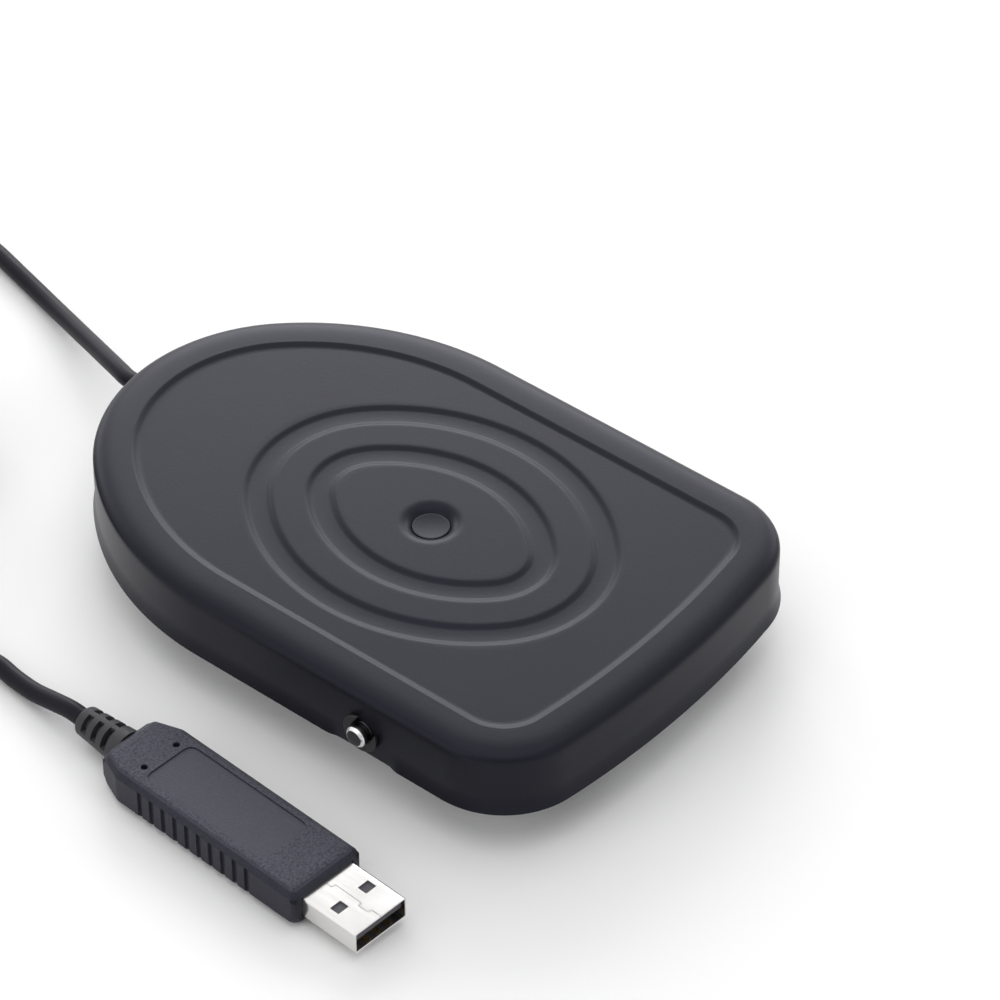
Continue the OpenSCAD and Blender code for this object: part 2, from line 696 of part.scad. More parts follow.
module pivot_shaft() color(zinc) translate([0, pin_y, pin_z]) rotate([0, 90, 0]) {
    groove_at = half_w + clip_gap - fit_gap;
    groove_end = half_w + clip_gap + clip_t + fit_gap;
    rotate_extrude() polygon([[0, -shaft_half], [pin_d / 2 - pin_chamfer, -shaft_half],
        [pin_d / 2, pin_chamfer - shaft_half], [pin_d / 2, -groove_end], [groove_r, -groove_end],
        [groove_r, -groove_at], [pin_d / 2, -groove_at], [pin_d / 2, groove_at],
        [groove_r, groove_at], [groove_r, groove_end], [pin_d / 2, groove_end],
        [pin_d / 2, shaft_half - pin_chamfer], [pin_d / 2 - pin_chamfer, shaft_half],
        [0, shaft_half]]);
}

module pivot_spacers() color(white_nylon) for (side = [0, 1]) mirror([side, 0, 0])
    translate([ear_x, pin_y, pin_z]) rotate([0, 90, 0]) difference() {
        length = base_inset - sheet_t - 2 * fit_gap;
        cylinder(d = spacer_d, h = length);
        translate([0, 0, -past]) cylinder(d = pin_d + 2 * run_gap, h = length + 2 * past);
    }

// A clip with three lugs on the shaft's groove and its mouth along +Y, in the XY plane
module e_clip() {
    relief_r = pin_d / 2 + fit_gap;
    lug = 1.4;
    linear_extrude(clip_t) difference() {
        circle(d = clip_d);
        circle(groove_r + fit_gap);
        translate([-clip_mouth / 2, 0]) square([clip_mouth, clip_d]);
        difference() {
            circle(relief_r);
            translate([-lug / 2, -clip_d]) square([lug, clip_d]);
            translate([-clip_d, -lug]) square([2 * clip_d, 2 * lug]);
        }
    }
}

module clip_at_right() translate([half_w + clip_gap, pin_y, pin_z])
    rotate([clip_turn, 0, 0]) rotate([90, 0, 90]) e_clip();
module e_clip_right() color(dark_resin) clip_at_right();
module e_clip_left() color(dark_resin) mirror([1, 0, 0]) clip_at_right();

module rubber_feet() color(rubber) at_feet() {
    hole_r = foot_screw_d / 2 + fit_gap;
    rotate_extrude() polygon([[hole_r, foot_recess], [screw_head_d / 2 + 0.5, foot_recess],
        [screw_head_d / 2 + 0.5, 0], [foot_end_d / 2, 0], [foot_d / 2, foot_h], [hole_r, foot_h]]);
}

module foot_screws() color(zinc) at_feet() translate([0, 0, foot_recess]) rotate([180, 0, 0])
    pan_screw(foot_screw_d, base_top + 1 - foot_recess, screw_head_d, screw_head_h);

module front_stop_strip() color(rubber) at_front_tab() {
    rotate([90, 0, 0]) linear_extrude(front_tab_w, center = true) difference() {
        translate([-base_t - fit_gap - strip_wall, front_tab_top - strip_grip])
            square([base_t + 2 * (fit_gap + strip_wall), strip_grip + strip_top]);
        translate([-base_t - fit_gap, front_tab_top - strip_grip - past])
            square([base_t + 2 * fit_gap, strip_grip + past]);
    }
}

module stop_bumpers() color(rubber) for (side = [-1, 1])
    translate([side * stop_x, spring_y, base_top]) {
        height = stop_top - base_top;
        nose = stop_d / 6;
        rotate_extrude() polygon([[0, 0], [stop_d / 2, 0], [stop_d / 2, height - nose],
            [stop_d / 2 - nose, height], [0, height]]);
    }

module return_spring() color(zinc) {
    steps = spring_turns * 8;
    r = (spring_d - spring_wire) / 2;
    rise = spring_high - spring_low;
    path = [for (i = [0 : steps]) let (a = 360 * spring_turns * i / steps)
        [r * cos(a), spring_y + r * sin(a), spring_low + rise * i / steps]];
    echo(str("spring gap ", rise / spring_turns - spring_wire));
    tube(path, spring_wire, 6);
}

module spring_seat() color(white_nylon) translate([0, spring_y, base_top]) spring_locator();

// Switch on its bracket

module switch_holes(d) for (y = [-1, 1])
    translate([0, switch_y + y * switch_pitch / 2, switch_hole_z]) rotate([0, 90, 0])
        cylinder(d = d, h = 4 * switch_w, center = true);

module switch_case() color(dark_resin) difference() {
    translate([-switch_w / 2, switch_y - switch_l / 2, switch_z])
        cube([switch_w, switch_l, switch_h - cover_h]);
    switch_holes(switch_screw_d + 2 * fit_gap);
    translate([0, ring_y, cover_z - plunger_room])
        cylinder(d = plunger_foot_d + 4 * run_gap, h = plunger_room + past);
}

module switch_cover() color(rubber) difference() {
    translate([-switch_w / 2, switch_y - switch_l / 2, cover_z])
        cube([switch_w, switch_l, cover_h]);
    translate([0, ring_y, cover_z - past])
        cylinder(d = plunger_d + 2 * run_gap, h = cover_h + 2 * past);
}

module switch_plunger() color(white_nylon) translate([0, ring_y, 0]) {
    crown = plunger_d / 6;
    rotate_extrude() polygon([[0, cover_z - run_gap - plunger_foot],
        [plunger_foot_d / 2, cover_z - run_gap - plunger_foot],
        [plunger_foot_d / 2, cover_z - run_gap], [plunger_d / 2, cover_z - run_gap],
        [plunger_d / 2, plunger_top - crown], [plunger_d / 2 - crown, plunger_top],
        [0, plunger_top]]);
}

module switch_terminals() color(brass) for (i = [-1 : 1])
    translate([-terminal_t / 2, switch_y + i * terminal_pitch - terminal_w / 2,
        switch_z - terminal_l]) cube([terminal_t, terminal_w, terminal_l]);

module switch_bracket() color(zinc) difference() {
    translate([bracket_x, switch_y - bracket_l / 2, base_top]) {
        cube([bracket_t, bracket_l, bracket_top - base_top]);
        cube([bracket_t + bracket_foot, bracket_l, bracket_t]);
    }
    switch_holes(switch_screw_d + 2 * fit_gap);
    translate([bracket_screw_x, switch_y, base_top - past])
        cylinder(d = foot_screw_d + 2 * fit_gap, h = bracket_t + 2 * past);
}

module switch_screws() color(zinc) for (y = [-1, 1])
    translate([-switch_w / 2, switch_y + y * switch_pitch / 2, switch_hole_z])
        rotate([0, -90, 0])
            pan_screw(switch_screw_d, switch_w + bracket_t + nut_t + 0.6, 3.4, 1.2);

module switch_nuts() color(zinc) for (y = [-1, 1])
    translate([bracket_x + bracket_t, switch_y + y * switch_pitch / 2, switch_hole_z])
        rotate([0, 90, 0]) difference() {
            cylinder(d = nut_d, h = nut_t, $fn = 6);
            translate([0, 0, -past])
                cylinder(d = switch_screw_d + 2 * fit_gap, h = nut_t + 2 * past);
        }

module bracket_screw() color(zinc)
    translate([bracket_screw_x, switch_y, base_top + bracket_t])
        pan_screw(foot_screw_d, base_t + bracket_t, screw_head_d, screw_head_h);

// Lead inside the pedal

module cable_gland() color(rubber) translate([gland_x, gland_y, gland_z]) rotate([-90, 0, 0]) {
    bore_r = cable_r + fit_gap;
    inside = -base_t - fit_gap;
    rotate_extrude() polygon([[bore_r, inside - gland_flange_t],
        [gland_flange_d / 2, inside - gland_flange_t], [gland_flange_d / 2, inside],
        [gland_d / 2, inside], [gland_d / 2, fit_gap], [gland_flange_d / 2, fit_gap],
        [gland_flange_d / 2, gland_flange_t], [nose_root_d / 2, gland_flange_t],
        [nose_d / 2, gland_flange_t + nose_l], [bore_r, gland_flange_t + nose_l]]);
}

module cable_inner() color(rubber) translate([gland_x, jacket_y, gland_z]) rotate([-90, 0, 0])
    cylinder(d = cable_d, h = gland_y - jacket_y);

module cable_clamp() color(black_plastic) difference() {
    translate([0, clamp_y, 0]) rotate([90, 0, 0]) linear_extrude(clamp_l, center = true) {
        wide = cable_r + clamp_wall;
        translate([gland_x, gland_z]) circle(wide);
        translate([gland_x - wide, base_top]) square([2 * wide, gland_z - base_top]);
        translate([gland_x, base_top]) square([clamp_foot_end - gland_x, clamp_foot_t]);
    }
    translate([gland_x, clamp_y, gland_z]) rotate([90, 0, 0])
        cylinder(d = cable_d + 2 * fit_gap, h = clamp_l + 2 * past, center = true);
    translate([clamp_screw_x, clamp_y, base_top - past])
        cylinder(d = foot_screw_d + 2 * fit_gap, h = clamp_foot_t + 2 * past);
}

module clamp_screw() color(zinc) translate([clamp_screw_x, clamp_y, base_top + clamp_foot_t])
    pan_screw(foot_screw_d, base_t + clamp_foot_t, screw_head_d, screw_head_h);

module lead_wires() color(rubber) for (i = [0, 1]) {
    spread = (i - 0.5) * 1.5 * wire_d;
    start = [gland_x + spread, jacket_y, gland_z];
    route = concat([start], [for (p = wire_points) p + [spread, 0, 0]], wire_ends[i]);
    tube(route, wire_d, 6, [0, -1, 0], [0, -1, 0]);
}

// Free lead, its coil and tie

function coil_at(u) =
    let (
        layer = floor(u / coil_cycle),
        w = u - layer * coil_cycle,
        inward = layer % 2 == 0,
        run = min(w, coil_leg),
        r = inward ? coil_out_r - coil_pitch * run : coil_in_r + coil_pitch * run,
        climb = max(w - coil_leg, 0) / coil_climb,
        a = coil_start + 360 * u)
    [coil_x + r * cos(a), coil_y + r * sin(a), coil_z + (layer + climb) * coil_layer];

coil_entry = coil_at(0) + [cable_d, 0, 0];
coil_last = coil_at(coil_turns - 0.0001);
coil_exit = coil_last + cable_d * coil_end_turn;
coil_steps = round(coil_turns * coil_rings);
coil_path = concat([coil_entry],
    [for (i = [0 : coil_steps - 1]) coil_at(coil_turns * i / coil_steps)], [coil_last, coil_exit]);
nose_end = [gland_x, nose_y, gland_z];
lead_path = concat([[gland_x, gland_y, gland_z], nose_end, nose_end + [0, cable_d, 0]], lead_points,
    [coil_entry + [cable_d, 0, 0], coil_entry]);
plug_back = [-sin(plug_yaw), cos(plug_yaw), 0];
relief_tip = [plug_x, plug_y, plug_z] + relief_end * plug_back;
tail_path = concat([coil_exit, coil_exit + cable_d * coil_end_turn], tail_points,
    [relief_tip + cable_d * plug_back, relief_tip]);

function path_length(path) =
    [for (i = [1 : len(path) - 1]) norm(path[i] - path[i - 1])] * [for (i = [1 : len(path) - 1]) 1];
function least_gap(path, skip) =
    min([for (i = [0 : len(path) - 1 - skip], j = [i + skip : len(path) - 1])
        norm(path[i] - path[j])]) - cable_d;

module cable_lead() color(rubber) tube(lead_path, cable_d, 8, [0, 1, 0], [-1, 0, 0]);

module cable_coil() color(rubber) {
    echo(str("coil gap ", least_gap(coil_path, coil_rings / 2)));
    echo(str("lead length ", path_length(lead_path) + path_length(coil_path)
        + path_length(tail_path) + gland_y - jacket_y));
    tube(coil_path, cable_d, 6, [-1, 0, 0], coil_end_turn);
}

module cable_tail() color(rubber) tube(tail_path, cable_d, 8, coil_end_turn, -plug_back);

module coil_tie() color(black_plastic) {
    inner_w = coil_out_r - coil_in_r + cable_d + 2 * tie_gap;
    inner_h = (coil_layers - 1) * coil_layer + cable_d + 2 * tie_gap;
    translate([coil_x, coil_y, tie_t + inner_h / 2]) rotate([0, 0, tie_angle])
        translate([(coil_in_r + coil_out_r) / 2, 0, 0]) rotate([90, 0, 0])
            linear_extrude(tie_w, center = true) difference() {
                rounded_rect(inner_w + 2 * tie_t, inner_h + 2 * tie_t, tie_t + cable_r / 2);
                rounded_rect(inner_w, inner_h, cable_r / 2);
            }
}

// Plug, drawn with its mouth at y = 0 and the lead towards +Y

module at_plug() translate([plug_x, plug_y, 0]) rotate([0, 0, plug_yaw]) children();

// Plan of the grip, drawn in by inset
function grip_plan(inset) =
    let (w = grip_w / 2 - inset, e = taper_w / 2 - inset * 0.6)
    [[-w, shell_out + inset], [w, shell_out + inset], [w, grip_end], [e, taper_end - inset],
        [-e, taper_end - inset], [-w, grip_end]];

module plug_overmold() color(black_plastic) at_plug() difference() {
    hull() {
        linear_extrude(grip_h) polygon(grip_plan(grip_bevel));
        translate([0, 0, grip_bevel]) linear_extrude(grip_h - 2 * grip_bevel)
            polygon(grip_plan(0));
    }
    for (side = [-1, 1], i = [0 : groove_n - 1])
        translate([side * grip_w / 2, shell_out + grip_first + i * groove_pitch,
            (groove_top - past) / 2])
            cube([2 * grip_groove_depth, groove_w, groove_top + past], center = true);
    translate([0, recess_start + recess_l / 2, grip_h - recess_depth])
        linear_extrude(recess_depth + past) rounded_rect(recess_w, recess_l, 2);
    for (side = [-1, 1]) translate([side * eye_x, eye_y, grip_h - eye_depth])
        cylinder(d = eye_d, h = eye_depth + past);
    translate([-pocket_w / 2, shell_out - past, plug_z - pocket_h / 2])
        cube([pocket_w, pocket_end - shell_out + past, pocket_h]);
}

module plug_strain_relief() color(rubber) at_plug() translate([0, taper_end, plug_z])
    rotate([-90, 0, 0]) difference() {
        slot_n = 3;
        slot_l = 1.2;
        slot_first = 2.5;
        slot_x = 0.6;
        slot_z = 0.4;
        core_r = cable_r + 0.2;
        tip_round = 0.8;
        pitch = (relief_l - slot_first - 0.55) / slot_n;
        rotate_extrude() polygon([[0, 0], [relief_d / 2, 0], [relief_end_d / 2, relief_l - tip_round],
            [relief_end_d / 2 - tip_round, relief_l], [0, relief_l]]);
        for (side = [-1, 1], i = [0 : slot_n - 1]) translate([0, 0, slot_first + i * pitch])
            difference() {
                translate([side > 0 ? slot_x : -relief_d, -relief_d, 0])
                    cube([relief_d - slot_x, relief_d - slot_z, slot_l]);
                translate([0, 0, -past]) cylinder(r = core_r, h = slot_l + 2 * past);
            }
    }

module plug_shell() color(nickel) at_plug() difference() {
    shell_l = shell_out + shell_in;
    window = [2.45, 2];
    window_x = 3.25;
    window_y = 6.4;
    translate([0, shell_l, plug_z]) rotate([90, 0, 0]) linear_extrude(shell_l) difference() {
        rounded_rect(shell_w, shell_h, shell_corner);
        rounded_rect(shell_w - 2 * shell_t, shell_h - 2 * shell_t, shell_corner - shell_t);
    }
    for (side = [-1, 1]) translate([side * window_x, window_y, plug_z])
        cube([window.x, window.y, 2 * shell_h], center = true);
}

module plug_tongue() color(dark_resin) at_plug()
    translate([-tongue_w / 2 + shell_corner / 2, tongue_start, tongue_top - tongue_t])
        cube([tongue_w - shell_corner, shell_out + shell_in - tongue_start, tongue_t]);

module plug_contacts() color(brass) at_plug() for (i = [0 : contact_n - 1]) {
    x = (i - (contact_n - 1) / 2) * contact_pitch;
    translate([x - contact_w / 2, tongue_start + 1, tongue_top - tongue_t - contact_t])
        cube([contact_w, contact_l, contact_t]);
}

module plug_board() color(board_green) at_plug()
    translate([-shell_w / 2, board_start, plug_z - board_t / 2]) cube([shell_w, board_l, board_t]);

module plug_chip() color(dark_resin) at_plug()
    translate([-2, board_start + board_l / 2 - 2.5, plug_z + board_t / 2]) cube([4, 5, 1.4]);

tread();
tread_rivet();
rivet_washer();
spring_cap();
base_plate();
pivot_shaft();
pivot_spacers();
e_clip_left();
e_clip_right();
rubber_feet();
foot_screws();
front_stop_strip();
stop_bumpers();
return_spring();
spring_seat();
switch_case();
switch_cover();
switch_plunger();
switch_terminals();
switch_bracket();
switch_screws();
switch_nuts();
bracket_screw();
cable_gland();
cable_inner();
cable_clamp();
clamp_screw();
lead_wires();
cable_lead();
cable_coil();
cable_tail();
coil_tie();
plug_strain_relief();
plug_overmold();
plug_shell();
plug_tongue();
plug_contacts();
plug_board();
plug_chip();
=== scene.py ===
import math

import bmesh
import bpy
import numpy as np
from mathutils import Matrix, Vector


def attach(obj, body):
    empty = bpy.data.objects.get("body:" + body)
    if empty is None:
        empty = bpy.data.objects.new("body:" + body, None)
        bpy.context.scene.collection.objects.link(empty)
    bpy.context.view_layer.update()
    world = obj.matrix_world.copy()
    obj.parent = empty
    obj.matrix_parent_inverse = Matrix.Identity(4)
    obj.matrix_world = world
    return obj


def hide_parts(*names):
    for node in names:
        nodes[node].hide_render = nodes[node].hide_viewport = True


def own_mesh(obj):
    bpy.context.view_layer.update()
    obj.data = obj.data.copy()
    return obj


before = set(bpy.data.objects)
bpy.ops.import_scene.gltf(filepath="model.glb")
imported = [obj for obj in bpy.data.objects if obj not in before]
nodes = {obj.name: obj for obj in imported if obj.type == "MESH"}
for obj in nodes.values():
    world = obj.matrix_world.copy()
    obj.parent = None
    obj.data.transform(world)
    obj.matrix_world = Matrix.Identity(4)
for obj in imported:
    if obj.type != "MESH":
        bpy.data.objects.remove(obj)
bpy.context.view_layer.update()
mm = 0.001
sharpAngle = 35.0  # degrees past which an edge stays crisp

# camera, fitted to the photograph with the plug's shell as the scale
photoCamera = {
    "lens": 180.0, "sensor": 36.0, "near": 0.01, "far": 20.0,
    "place": (-0.49615, -0.43500, 0.60092), "aim": (0.012548, -0.01168, 0.021),
}


def putAimed(name, data, place, aim):
    # a camera or lamp at place, its view along -Z turned towards aim
    holder = bpy.data.objects.new(name, data)
    holder.location = place
    holder.rotation_euler = (Vector(aim) - Vector(place)).to_track_quat("-Z", "Y").to_euler()
    bpy.context.scene.collection.objects.link(holder)
    return holder


def makeCamera(c):
    lens = bpy.data.cameras.new("photoCamera")
    lens.lens = c["lens"]
    lens.sensor_width = c["sensor"]
    lens.sensor_height = c["sensor"]
    lens.clip_start = c["near"]
    lens.clip_end = c["far"]
    bpy.context.scene.camera = putAimed("photoCamera", lens, c["place"], c["aim"])


makeCamera(photoCamera)


# meshes: whole arrays of points in millimetres, laid out as a grid of rows
def gridFaces(rows, cols, wrapRows=False, wrapCols=False):
    # quads from each row and column to the next, and from the last back to the first where it wraps
    i = np.arange(rows if wrapRows else rows - 1)[:, None]
    j = np.arange(cols if wrapCols else cols - 1)[None, :]
    nextRow = (i + 1) % rows * cols
    nextCol = (j + 1) % cols
    corners = [i * cols + j, nextRow + j, nextRow + nextCol, i * cols + nextCol]
    return np.stack(corners, -1).reshape(-1, 4)


def tubeFaces(rows, cols):
    # the quads of a tube whose rows are rings, wound to match its caps
    return gridFaces(rows, cols, wrapCols=True)[:, ::-1]


def endCaps(rows, cols):
    # the first and last rows as two faces that close a tube, each looking away from the other
    return [np.arange(cols)[::-1], (rows - 1) * cols + np.arange(cols)]


def faceOutward(mesh):
    # neighbouring faces turned alike, then all turned round if the volume they hold is negative
    shape = bmesh.new()
    shape.from_mesh(mesh)
    bmesh.ops.recalc_face_normals(shape, faces=shape.faces)
    if shape.calc_volume(signed=True) < 0:
        bmesh.ops.reverse_faces(shape, faces=shape.faces)
    shape.to_mesh(mesh)
    shape.free()


def meshObject(name, points, faces, caps=()):
    # points in millimetres in the row frame; caps are loops of indices that close the ends
    mesh = bpy.data.meshes.new(name)
    allFaces = faces.tolist() + [cap.tolist() for cap in caps]
    mesh.from_pydata((points.reshape(-1, 3) * mm).tolist(), [], allFaces)
    faceOutward(mesh)
    made = bpy.data.objects.new(name, mesh)
    bpy.context.scene.collection.objects.link(made)
    return made


def shadeSmooth(mesh, sharp):
    mesh.shade_smooth()
    mesh.set_sharp_from_angle(angle=math.radians(sharp))


def putPiece(name, points, faces, body, finish, sharp=sharpAngle, caps=()):
    piece = meshObject(name, points, faces, caps)
    piece.data.materials.append(finish)
    shadeSmooth(piece.data, sharp)
    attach(piece, body)
    return piece


def putTube(name, rings, body, finish, sharp):
    # rings joined each to the next, with a flat cap on the first and the last
    n, m = rings.shape[:2]
    return putPiece(name, rings, tubeFaces(n, m), body, finish, sharp, endCaps(n, m))


def putLoop(name, rings, body, finish, sharp=sharpAngle):
    # rings joined each to the next, and the last to the first
    return putPiece(name, rings, gridFaces(*rings.shape[:2], True, True), body, finish, sharp)


def smoothStep(t):
    # three times t squared less twice t cubed, with t held between 0 and 1
    t = np.clip(t, 0.0, 1.0)
    return t * t * (3 - 2 * t)


def softEdge(distance, half):
    # 0 before an edge and 1 past it, smooth over half on either side
    return smoothStep((distance + half) / (2 * half))


def sweepTube(path, radius, sides):
    # a circle carried along the path, its frame kept level: side is the heading crossed with up
    heading = np.gradient(path, axis=0)
    heading /= np.linalg.norm(heading, axis=1, keepdims=True)
    side = np.cross(heading, [0.0, 0.0, 1.0])
    side /= np.linalg.norm(side, axis=1, keepdims=True)
    up = np.cross(side, heading)
    a = np.linspace(0, 2 * np.pi, sides, endpoint=False)
    ring = np.cos(a)[None, :, None] * side[:, None] + np.sin(a)[None, :, None] * up[:, None]
    return path[:, None] + radius * ring


def turnedPiece(name, profile, centre, axis, body, finish, sharp, sides=72):
    # a profile of (radius, height) pairs turned once round an axis through centre
    along = np.asarray(axis, float)
    u = np.array([0.0, 0.0, 1.0]) if abs(along[2]) < 0.9 else np.array([1.0, 0.0, 0.0])
    v = np.cross(along, u)
    a = np.linspace(0, 2 * np.pi, sides, endpoint=False)
    ring = np.cos(a)[:, None] * u + np.sin(a)[:, None] * v
    radius, height = profile.T[:, :, None, None]
    return putTube(name, np.asarray(centre, float) + radius * ring + height * along, body, finish, sharp)


def smoothRoute(points, before, after, cuts=6):
    # a curve through every point: each stretch is a cubic that leaves and arrives
    # along the chord between the points on either side
    p = np.vstack([before, points, after])
    p0, p1, p2, p3 = p[:-3, None], p[1:-2, None], p[2:-1, None], p[3:, None]
    t = np.linspace(0, 1, cuts, endpoint=False)[None, :, None]
    square = 2 * p0 - 5 * p1 + 4 * p2 - p3
    cube = 3 * p1 - p0 - 3 * p2 + p3
    curve = 0.5 * (2 * p1 + (p2 - p0) * t + square * t ** 2 + cube * t ** 3)
    return np.vstack([curve.reshape(-1, 3), points[-1:]])


# materials: a wire is one socket of a node tree, and arithmetic on wires adds Math nodes
class Wire:
    def __init__(self, tree, socket):
        self.tree = tree
        self.socket = socket

    def node(self, kind, inputs, output=0, **settings):
        made = self.tree.nodes.new(kind)
        for key, value in settings.items():
            setattr(made, key, value)
        for key, value in inputs.items():
            if isinstance(value, Wire):
                self.tree.links.new(value.socket, made.inputs[key])
            else:
                made.inputs[key].default_value = value
        return Wire(self.tree, made.outputs[output])

    def maths(self, operation, *others):
        return self.node("ShaderNodeMath", dict(enumerate((self, *others))), operation=operation)

    def __add__(self, other):
        return self.maths("ADD", other)

    def __sub__(self, other):
        return self.maths("SUBTRACT", other)

    def __rsub__(self, other):
        return self.node("ShaderNodeMath", {0: other, 1: self}, operation="SUBTRACT")

    def __mul__(self, other):
        return self.maths("MULTIPLY", other)

    def __pow__(self, other):
        return self.maths("POWER", other)

    __radd__ = __add__
    __rmul__ = __mul__

    def ramp(self, low, high):
        return self.node("ShaderNodeMapRange", {"Value": self, "From Min": low, "From Max": high},
                         interpolation_type="SMOOTHSTEP")

    def noise(self, scale, detail=3.0, rough=0.5):
        return self.node("ShaderNodeTexNoise",
                         {"Vector": self, "Scale": scale, "Detail": detail, "Roughness": rough})

    def cells(self, scale):
        return self.node("ShaderNodeTexVoronoi", {"Vector": self, "Scale": scale}, feature="F1")

    def stretched(self, x, y, z):
        return self.node("ShaderNodeMapping", {"Vector": self, "Scale": (x, y, z)})

    def tint(self, dark, light):
        # the factor and two colours of a Mix node are its sockets 0, 6 and 7
        a, b = [v if isinstance(v, Wire) else (*v, 1) for v in (dark, light)]
        return self.node("ShaderNodeMix", {0: self, 6: a, 7: b}, 2, data_type="RGBA")

    def bump(self, depth, strength):
        return self.node("ShaderNodeBump", {"Height": self, "Distance": depth, "Strength": strength})


def newFinish(name, **fixed):
    # a principled shader with its fixed numbers set on its own sockets, and the object's coordinates
    finish = bpy.data.materials.new(name)
    finish.use_nodes = True
    shader = finish.node_tree.nodes["Principled BSDF"]
    for key, value in fixed.items():
        shader.inputs[key.replace("_", " ")].default_value = value
    coords = finish.node_tree.nodes.new("ShaderNodeTexCoord")
    return finish, shader, Wire(finish.node_tree, coords.outputs["Object"])


def tintedFinish(name, c):
    # a dull finish whose reflections lean to blue
    return newFinish(name, Specular_IOR_Level=c["specular"], Specular_Tint=c["sheen"])


def feed(shader, **wires):
    for key, wire in wires.items():
        wire.tree.links.new(wire.socket, shader.inputs[key.replace("_", " ")])


def axes(where):
    split = where.node("ShaderNodeSeparateXYZ", {"Vector": where})
    return [Wire(where.tree, split.socket.node.outputs[k]) for k in range(3)]


# satin black powder coat on the pressed tread: fine orange peel, slight tone changes, faint rubs
coatLook = {
    "specular": 0.16, "sheen": (0.74, 0.75, 1.0, 1.0), "rough": 0.29,
    "dark": (0.0085, 0.0087, 0.0124), "light": (0.0125, 0.0127, 0.0174),
    "peel": 1500, "grit": 5200, "cloud": 46, "rub": 260, "depth": 0.00005,
}


def makeCoat(c):
    finish, shader, where = tintedFinish("satinBlackCoat", c)
    peel = where.noise(c["peel"], 2)
    grit = where.noise(c["grit"], 1)
    cloud = where.noise(c["cloud"], 4, 0.6)
    rub = where.stretched(1, 0.3, 1).noise(c["rub"], 5, 0.7).ramp(0.58, 0.8)
    feed(shader, Base_Color=(0.75 * cloud + 0.25 * peel).tint(c["dark"], c["light"]),
         Roughness=c["rough"] + 0.05 * cloud + 0.04 * rub + 0.05 * grit,
         Normal=(peel + 0.4 * grit).bump(c["depth"], 0.25))
    return finish


# moulded jacket of the lead: soft black, with a fine grain
jacketLook = {
    "specular": 0.125, "sheen": (0.82, 0.83, 1.0, 1.0), "rough": 0.36,
    "dark": (0.008, 0.008, 0.011), "light": (0.013, 0.013, 0.017),
    "grain": 2600, "cloud": 120, "depth": 0.00004,
}


def makeJacket(c):
    finish, shader, where = tintedFinish("leadJacket", c)
    grain = where.noise(c["grain"], 2)
    cloud = where.noise(c["cloud"], 3)
    feed(shader, Base_Color=cloud.tint(c["dark"], c["light"]),
         Roughness=c["rough"] + 0.1 * grain, Normal=grain.bump(c["depth"], 0.3))
    return finish


# smooth plastic or rubber, shared by small mouldings
def makeMoulding(name, dark, light, rough, grainScale, depth):
    finish, shader, where = newFinish(name, Specular_IOR_Level=0.4)
    grain = where.noise(grainScale, 3)
    cloud = where.noise(grainScale / 14, 3)
    feed(shader, Base_Color=(0.5 * grain + 0.5 * cloud).tint(dark, light),
         Roughness=rough + 0.12 * grain, Normal=grain.bump(depth, 0.5))
    return finish


# plated or bare metal: tone drift, and a grain drawn out along the axis whose stretch is small
def makeMetal(name, dark, light, rough, stretch, grainScale):
    finish, shader, where = newFinish(name, Metallic=1.0)
    brushed = where.stretched(*stretch).noise(grainScale, 4, 0.6)
    drift = where.noise(60, 3)
    feed(shader, Base_Color=(0.5 * brushed + 0.5 * drift).tint(dark, light),
         Roughness=rough + 0.14 * brushed + 0.05 * drift, Normal=brushed.bump(0.00002, 0.4))
    return finish


coat = makeCoat(coatLook)
jacket = makeJacket(jacketLook)
rubber = makeMoulding("mattRubber", (0.014, 0.014, 0.015), (0.026, 0.026, 0.028), 0.7, 1800, 0.00006)
reliefRubber = makeMoulding("reliefRubber", (0.022, 0.022, 0.025), (0.036, 0.036, 0.041), 0.5, 2600, 0.00006)
resin = makeMoulding("darkResin", (0.018, 0.018, 0.02), (0.034, 0.034, 0.037), 0.42, 1500, 0.00003)
tongueResin = makeMoulding("tongueResin", (0.055, 0.055, 0.066), (0.075, 0.075, 0.088), 0.5, 1800, 0.00003)
nylon = makeMoulding("naturalNylon", (0.66, 0.63, 0.56), (0.76, 0.74, 0.68), 0.45, 900, 0.00003)
tieNylon = makeMoulding("blackNylon", (0.02, 0.02, 0.021), (0.034, 0.034, 0.036), 0.4, 1200, 0.00003)
boardGreen = makeMoulding("boardResist", (0.02, 0.11, 0.05), (0.03, 0.16, 0.075), 0.3, 700, 0.00002)
zinc = makeMetal("zincPlate", (0.50, 0.51, 0.53), (0.66, 0.67, 0.68), 0.32, (1, 1, 1), 240)
springSteel = makeMetal("springWire", (0.42, 0.42, 0.43), (0.58, 0.58, 0.59), 0.28, (1, 1, 0.2), 900)
blackOxide = makeMetal("blackOxide", (0.05, 0.05, 0.055), (0.09, 0.09, 0.095), 0.4, (1, 1, 1), 900)
gold = makeMetal("goldFlash", (0.72, 0.52, 0.22), (0.86, 0.66, 0.32), 0.22, (1, 0.1, 1), 700)
print("shared finishes, %d materials in all" % len(bpy.data.materials))

# the plug's place: its mouth and heading on the floor
plugForm = {"mouth": (-67.1, -52.4), "yaw": -3.7, "height": 8.0, "reliefEnd": 71.6}

